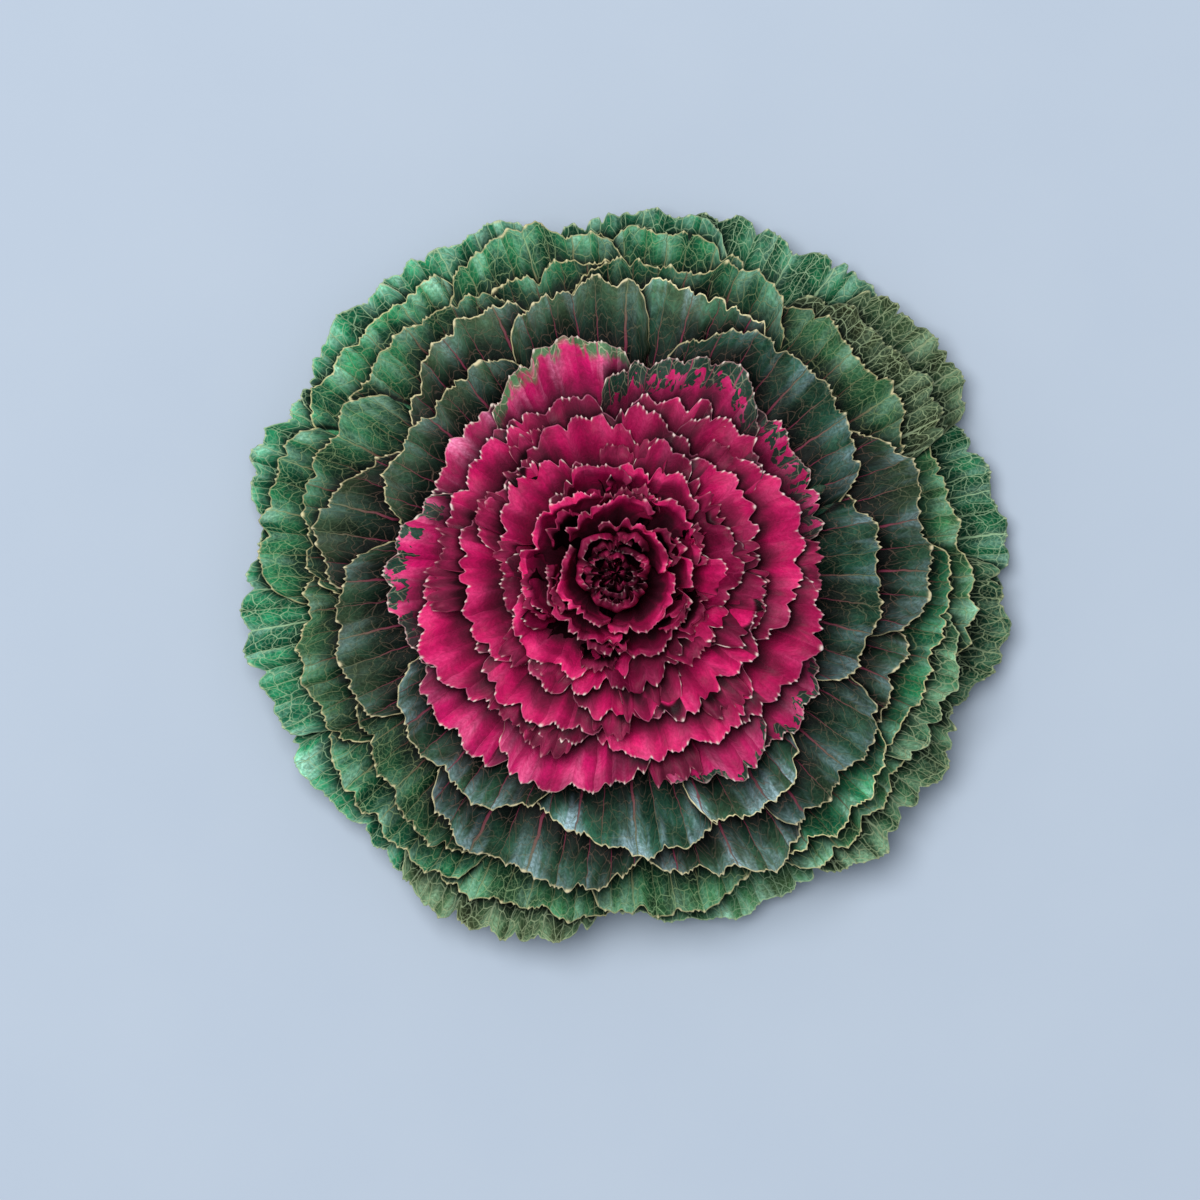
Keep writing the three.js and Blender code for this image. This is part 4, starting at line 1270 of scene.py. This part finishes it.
def ring_shell(reach: np.ndarray, angle: np.ndarray, height: np.ndarray) -> Shell:
    """A closed shell made of rings round the vertical axis, with a fan at both ends.

    Args:
        reach: Distance from the axis, by ring and by place round it, in millimetres.
        angle: Angle of each place round the rings.
        height: Height of each point, with the first ring the lowest on its axis.

    Returns:
        The shell, with its map unrolled at its mean radius.
    """
    points = np.stack([reach * np.cos(angle), reach * np.sin(angle), height], axis=-1)
    number = np.arange(height.size).reshape(height.shape)
    beyond = np.roll(number, -1, axis=1)
    quads = np.stack([number[:-1], beyond[:-1], beyond[1:], number[1:]], axis=-1)
    centres = np.array([[0, 0, height[0, 0]], [0, 0, height[-1, 0]]])
    sides = height.shape[1]
    fans = np.concatenate([
        np.stack([beyond[0], number[0], np.full(sides, number.size)], axis=-1),
        np.stack([number[-1], beyond[-1], np.full(sides, number.size + 1)], axis=-1),
    ])
    plan = np.stack([angle * reach.mean() * MM * np.ones_like(height), height * MM], axis=-1)
    return Shell(np.concatenate([points.reshape(-1, 3), centres]), quads.reshape(-1, 4), fans,
                 np.concatenate([plan.reshape(-1, 2), np.zeros((2, 2))]), {})


@dataclass
class Rosette:
    """The free leaves, the heart and the frills, dressed in their finishes."""

    materials: dict = field(default_factory=dict)
    free: list = field(default_factory=list)
    heart: list = field(default_factory=list)
    frills: list = field(default_factory=list)

    def __post_init__(self) -> None:
        """Lays out every blade from the tables."""
        for index, row in enumerate(FREE_LEAVES):
            profile = Profile.at_level(index / (len(FREE_LEAVES) - 1), in_heart=False)
            seed = FREE_SEED + SEED_STEP * index
            self.free.append(Blade(row, profile, seed, MARGINS[row.kind]))
        for index, (centre, half_width, margin) in enumerate(HEART_LEAVES):
            share = index / (len(HEART_LEAVES) - 1)
            level = HEART_FIRST_LEVEL + (HEART_LAST_LEVEL - HEART_FIRST_LEVEL) * share
            turned = centre + HEART_TURN_STEP * index
            tone = float(np.interp(level, HEART_TONE_LEVELS, HEART_TONES))
            tone *= HEART_SHADES.get(index, 1.0)
            row = LeafRow("heart", Kind.HEART, turned, half_width, margin, tone)
            profile = Profile.at_level(level, in_heart=True)
            seed = HEART_SEED + SEED_STEP * index
            self.heart.append(Blade(row, profile, seed, MARGINS[Kind.HEART]))
        for index, (centre, half_width, radius, height) in enumerate(CENTRE_CURLS):
            random = np.random.default_rng(CURL_MARGIN_SEED + index)
            uneven = random.uniform(-CURL_UNEVEN, CURL_UNEVEN, 7)
            row = LeafRow("curl", Kind.FRILL, centre, half_width, tuple(radius * (1 + uneven)),
                          CURL_TONE)
            profile = Profile(2.3 + 0.02 * index, CURL_FOOT, radius, height, 0.0,
                              CURL_ROOT_SHARE * radius, 1.0, 0.0)
            seed = CURL_SEED + SEED_STEP * index
            self.heart.append(Blade(row, profile, seed, MARGINS[Kind.HEART]))
        for index, (centre, half_width, radius) in enumerate(FRILLS):
            level = float(np.interp(-radius, -STATIONS[:, 2], STATIONS[:, 0])) + 0.012
            row = LeafRow("frill", Kind.FRILL, centre, half_width, (radius,) * 5)
            profile = Profile.at_level(level, in_heart=level > 1)
            seed = FRILL_SEED + SEED_STEP * index
            self.frills.append(Blade(row, profile, seed, MARGINS[Kind.FRILL]))

    def cover_over(self, blade: Blade) -> np.ndarray:
        """How far out the leaves above a blade reach.

        Args:
            blade: The blade that lies under them.

        Returns:
            For each step of a full turn, the largest margin radius of a higher leaf there.
        """
        higher = [other.reach_by_angle() for other in self.free + self.heart
                  if other.profile.level > blade.profile.level + 0.002]
        return np.max(higher, axis=0) if higher else np.zeros(TURN_STEPS + 1)

    def material_for(self, kind: Kind) -> bpy.types.Material:
        """The material of a kind of leaf, built once.

        Args:
            kind: The sort of leaf.

        Returns:
            Its material.
        """
        if kind not in self.materials:
            self.materials[kind] = FINISHES[kind].material(MARGINS[kind].pleat_width)
        return self.materials[kind]

    def place(self, name: str, blades: list, nodes: tuple = ()) -> None:
        """Builds one piece of blades of one kind, in place of CAD nodes if any are given.

        Args:
            name: The piece's name.
            blades: Its blades.
            nodes: The nodes that it stands for.
        """
        kind = blades[0].row.kind
        joined = join_shells([blade.shell(self.cover_over(blade)) for blade in blades])
        piece = mesh_object(name, joined, self.material_for(kind))
        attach(piece, "root")
        if nodes:
            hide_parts(*nodes)
        log.info("%s: %d faces", piece.name, len(piece.data.polygons))

    def build(self) -> None:
        """Builds the free leaves, the heart in rings round its core, and the frills."""
        for blade in self.free:
            self.place(blade.row.name + "_blade", [blade], (blade.row.name,))
        large = [blade for blade in self.heart if blade.row.kind is Kind.HEART]
        for ring, start in enumerate(range(0, len(large), RING_SIZE), start=1):
            self.place(f"heart_ring_{ring}", large[start:start + RING_SIZE], ("heart",))
        self.place("heart_centre", self.heart[len(large):], ("heart",))
        core = mesh_object("heart_core", core_shell(), core_material())
        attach(core, "root")
        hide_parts("heart")
        self.place("heart_frills", self.frills)


@dataclass
class Stump:
    """The cut stem under the head, with the scars of dropped leaves, in millimetres."""

    scar_turn: float = math.radians(137.5)
    scar_rise: float = 2.1
    scar_height: float = 0.6
    scar_half_width: float = 5.5
    scar_half_height: float = 1.6
    scar_edge: float = 0.35
    mean_radius: float = 13.5
    bevel: float = 0.8
    rings: int = 120
    sides: int = 180

    def relief(self, angle: np.ndarray, height: np.ndarray) -> np.ndarray:
        """Height of the leaf scars over the bark: for each scar a lens-shaped ridge,
        scar_height * exp(-((|place| - 1) / scar_edge)^2), with |place| the distance from the
        scar's centre over its half width and half height, and a hollow inside it. The scars
        climb in a spiral, each a golden angle further round.

        Args:
            angle: Angle of each point of the side, in radians.
            height: Its height, in millimetres.

        Returns:
            The height over the bark, in millimetres.
        """
        raised = np.zeros_like(angle)
        for number in range(int((STUMP_HEIGHT - 6) / self.scar_rise)):
            centre = 4 + number * self.scar_rise
            turn = (angle - number * self.scar_turn + math.pi) % TAU - math.pi
            place = np.hypot(turn * self.mean_radius / self.scar_half_width,
                             (height - centre) / self.scar_half_height)
            ridge = np.exp(-((place - 1) / self.scar_edge) ** 2)
            raised = np.maximum(raised, self.scar_height * ridge)
        return raised

    def shell(self) -> Shell:
        """The stump as a closed shell: a grid of rings from the centre of the cut face,
        over its bevelled edge, up the scarred side and in to the centre of the top.

        Returns:
            The shell.
        """
        climb = np.linspace(self.bevel, STUMP_HEIGHT, self.rings)
        cut = np.linspace(0.02, STUMP_BASE_RADIUS - self.bevel, 12)
        top = np.linspace(STUMP_TOP_RADIUS, 0.02, 6)[1:]
        height = np.concatenate([np.zeros(12), climb, np.full(5, float(STUMP_HEIGHT))])[:, None]
        radius = np.concatenate([cut, stump_radius(climb), top])[:, None]
        angle = np.linspace(0, TAU, self.sides, endpoint=False)[None, :]
        side = np.concatenate([np.zeros(12), np.ones(self.rings), np.zeros(5)])[:, None]
        side = side * smooth_step(0.5, 3, height)
        side = side * smooth_step(STUMP_HEIGHT, STUMP_HEIGHT - 3, height)
        reach = radius + side * (self.relief(angle, height * np.ones_like(angle)) - 0.3)
        return ring_shell(reach, angle, height * np.ones_like(angle))

    @staticmethod
    def material() -> bpy.types.Material:
        """Cut kale stem: matt pale green rind with corky brown patches, and a cream cut face
        with a fine greenish grain.

        Returns:
            The material.
        """
        made, tree = new_material("cut_kale_stem")
        place = add(tree, "TexCoord", {}).outputs["Object"]
        split = add(tree, "SeparateXYZ", {}, Vector=place)
        patches = add(tree, "TexNoise", {}, Vector=place, Scale=1 / (7 * MM), Detail=5.0,
                      Roughness=0.65)
        grain = add(tree, "TexNoise", {}, Vector=place, Scale=1 / (1.2 * MM), Detail=3.0,
                    Roughness=0.6)
        corky = add(tree, "MapRange", {}, Value=patches, From_Min=0.42, From_Max=0.62, To_Min=0.0,
                    To_Max=0.75)
        rind = add(tree, "Mix", COLOURS, corky, linear("#a3b184"), linear("#9a8560"))
        pith = add(tree, "Mix", COLOURS, grain, linear("#cfc79d"), linear("#b9bd8c"))
        face = add(tree, "MapRange", {}, Value=split.outputs["Z"], From_Min=0.0002, From_Max=0.0009)
        colour = add(tree, "Mix", COLOURS, face, pith, rind)
        bump = add(tree, "Bump", {}, Strength=0.5, Distance=0.5 * MM, Height=grain)
        stem = add(tree, "BsdfPrincipled", {}, Base_Color=colour, Roughness=0.75,
                   Normal=bump.outputs[0])
        add(tree, "OutputMaterial", {}, Surface=stem.outputs[0])
        return made

    def build(self) -> None:
        """Builds the stump in place of its solid."""
        piece = mesh_object("stump_stem", self.shell(), self.material())
        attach(piece, "root")
        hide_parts("stump")
        log.info("%s: %d faces", piece.name, len(piece.data.polygons))


@dataclass
class Studio:
    """Plain pale floor, soft light from the upper left, and the camera overhead."""

    floor_half: float = 6.0
    camera_height: float = 2.5
    camera_lens: float = 190.0
    aim_x: float = -0.0063
    aim_y: float = -0.0103
    key_place: tuple = (-0.9, 0.85, 4.2)
    key_size: float = 3.0
    key_power: float = 163.0
    sky_strength: float = 0.3

    def build(self) -> None:
        """Sets up the floor, the lights, the sky and the camera."""
        half = self.floor_half
        mesh = bpy.data.meshes.new("floor")
        mesh.from_pydata(
            [(-half, -half, 0), (half, -half, 0), (half, half, 0), (-half, half, 0)],
            [], [(0, 1, 2, 3)])
        floor = bpy.data.objects.new("floor", mesh)
        bpy.context.scene.collection.objects.link(floor)
        mesh.materials.append(self.floor_material())

        key = bpy.data.lights.new("key_light", "AREA")
        key.shape, key.size, key.energy = "DISK", self.key_size, self.key_power
        key.color = (1.0, 0.985, 0.96)
        lamp = bpy.data.objects.new("key_light", key)
        lamp.location = self.key_place
        lamp.rotation_euler = (-Vector(self.key_place)).to_track_quat("-Z", "Y").to_euler()
        bpy.context.scene.collection.objects.link(lamp)

        world = bpy.data.worlds.new("sky")
        world.use_nodes = True
        sky = world.node_tree.nodes["Background"]
        sky.inputs["Color"].default_value = (0.86, 0.92, 1.0, 1.0)
        sky.inputs["Strength"].default_value = self.sky_strength
        scene = bpy.context.scene
        scene.world = world
        scene.view_settings.view_transform = "Standard"

        lens = bpy.data.cameras.new("camera")
        lens.lens = self.camera_lens
        lens.sensor_width = 36
        lens.clip_end = 20
        camera = bpy.data.objects.new("camera", lens)
        camera.location = (self.aim_x, self.aim_y, self.camera_height)
        scene.collection.objects.link(camera)
        scene.camera = camera
        log.info("studio: floor, key light, sky and camera")

    @staticmethod
    def floor_material() -> bpy.types.Material:
        """Matt painted board: pale blue, with barely visible cloudy shading.

        Returns:
            The material.
        """
        made, tree = new_material("matt_painted_board")
        place = add(tree, "TexCoord", {}).outputs["Object"]
        cloud = add(tree, "TexNoise", {}, Vector=place, Scale=14.0, Detail=4.0)
        colour = add(tree, "Mix", COLOURS, cloud, linear("#bccbde"), linear("#c2d0e1"))
        board = add(tree, "BsdfPrincipled", {}, Base_Color=colour, Roughness=0.9)
        add(tree, "OutputMaterial", {}, Surface=board.outputs[0])
        return made


def main() -> None:
    """Builds the studio and the kale."""
    logging.basicConfig(level=logging.INFO, format="%(name)s %(message)s")
    Studio().build()
    Rosette().build()
    Stump().build()
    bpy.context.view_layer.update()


if __name__ == "__main__":
    main()
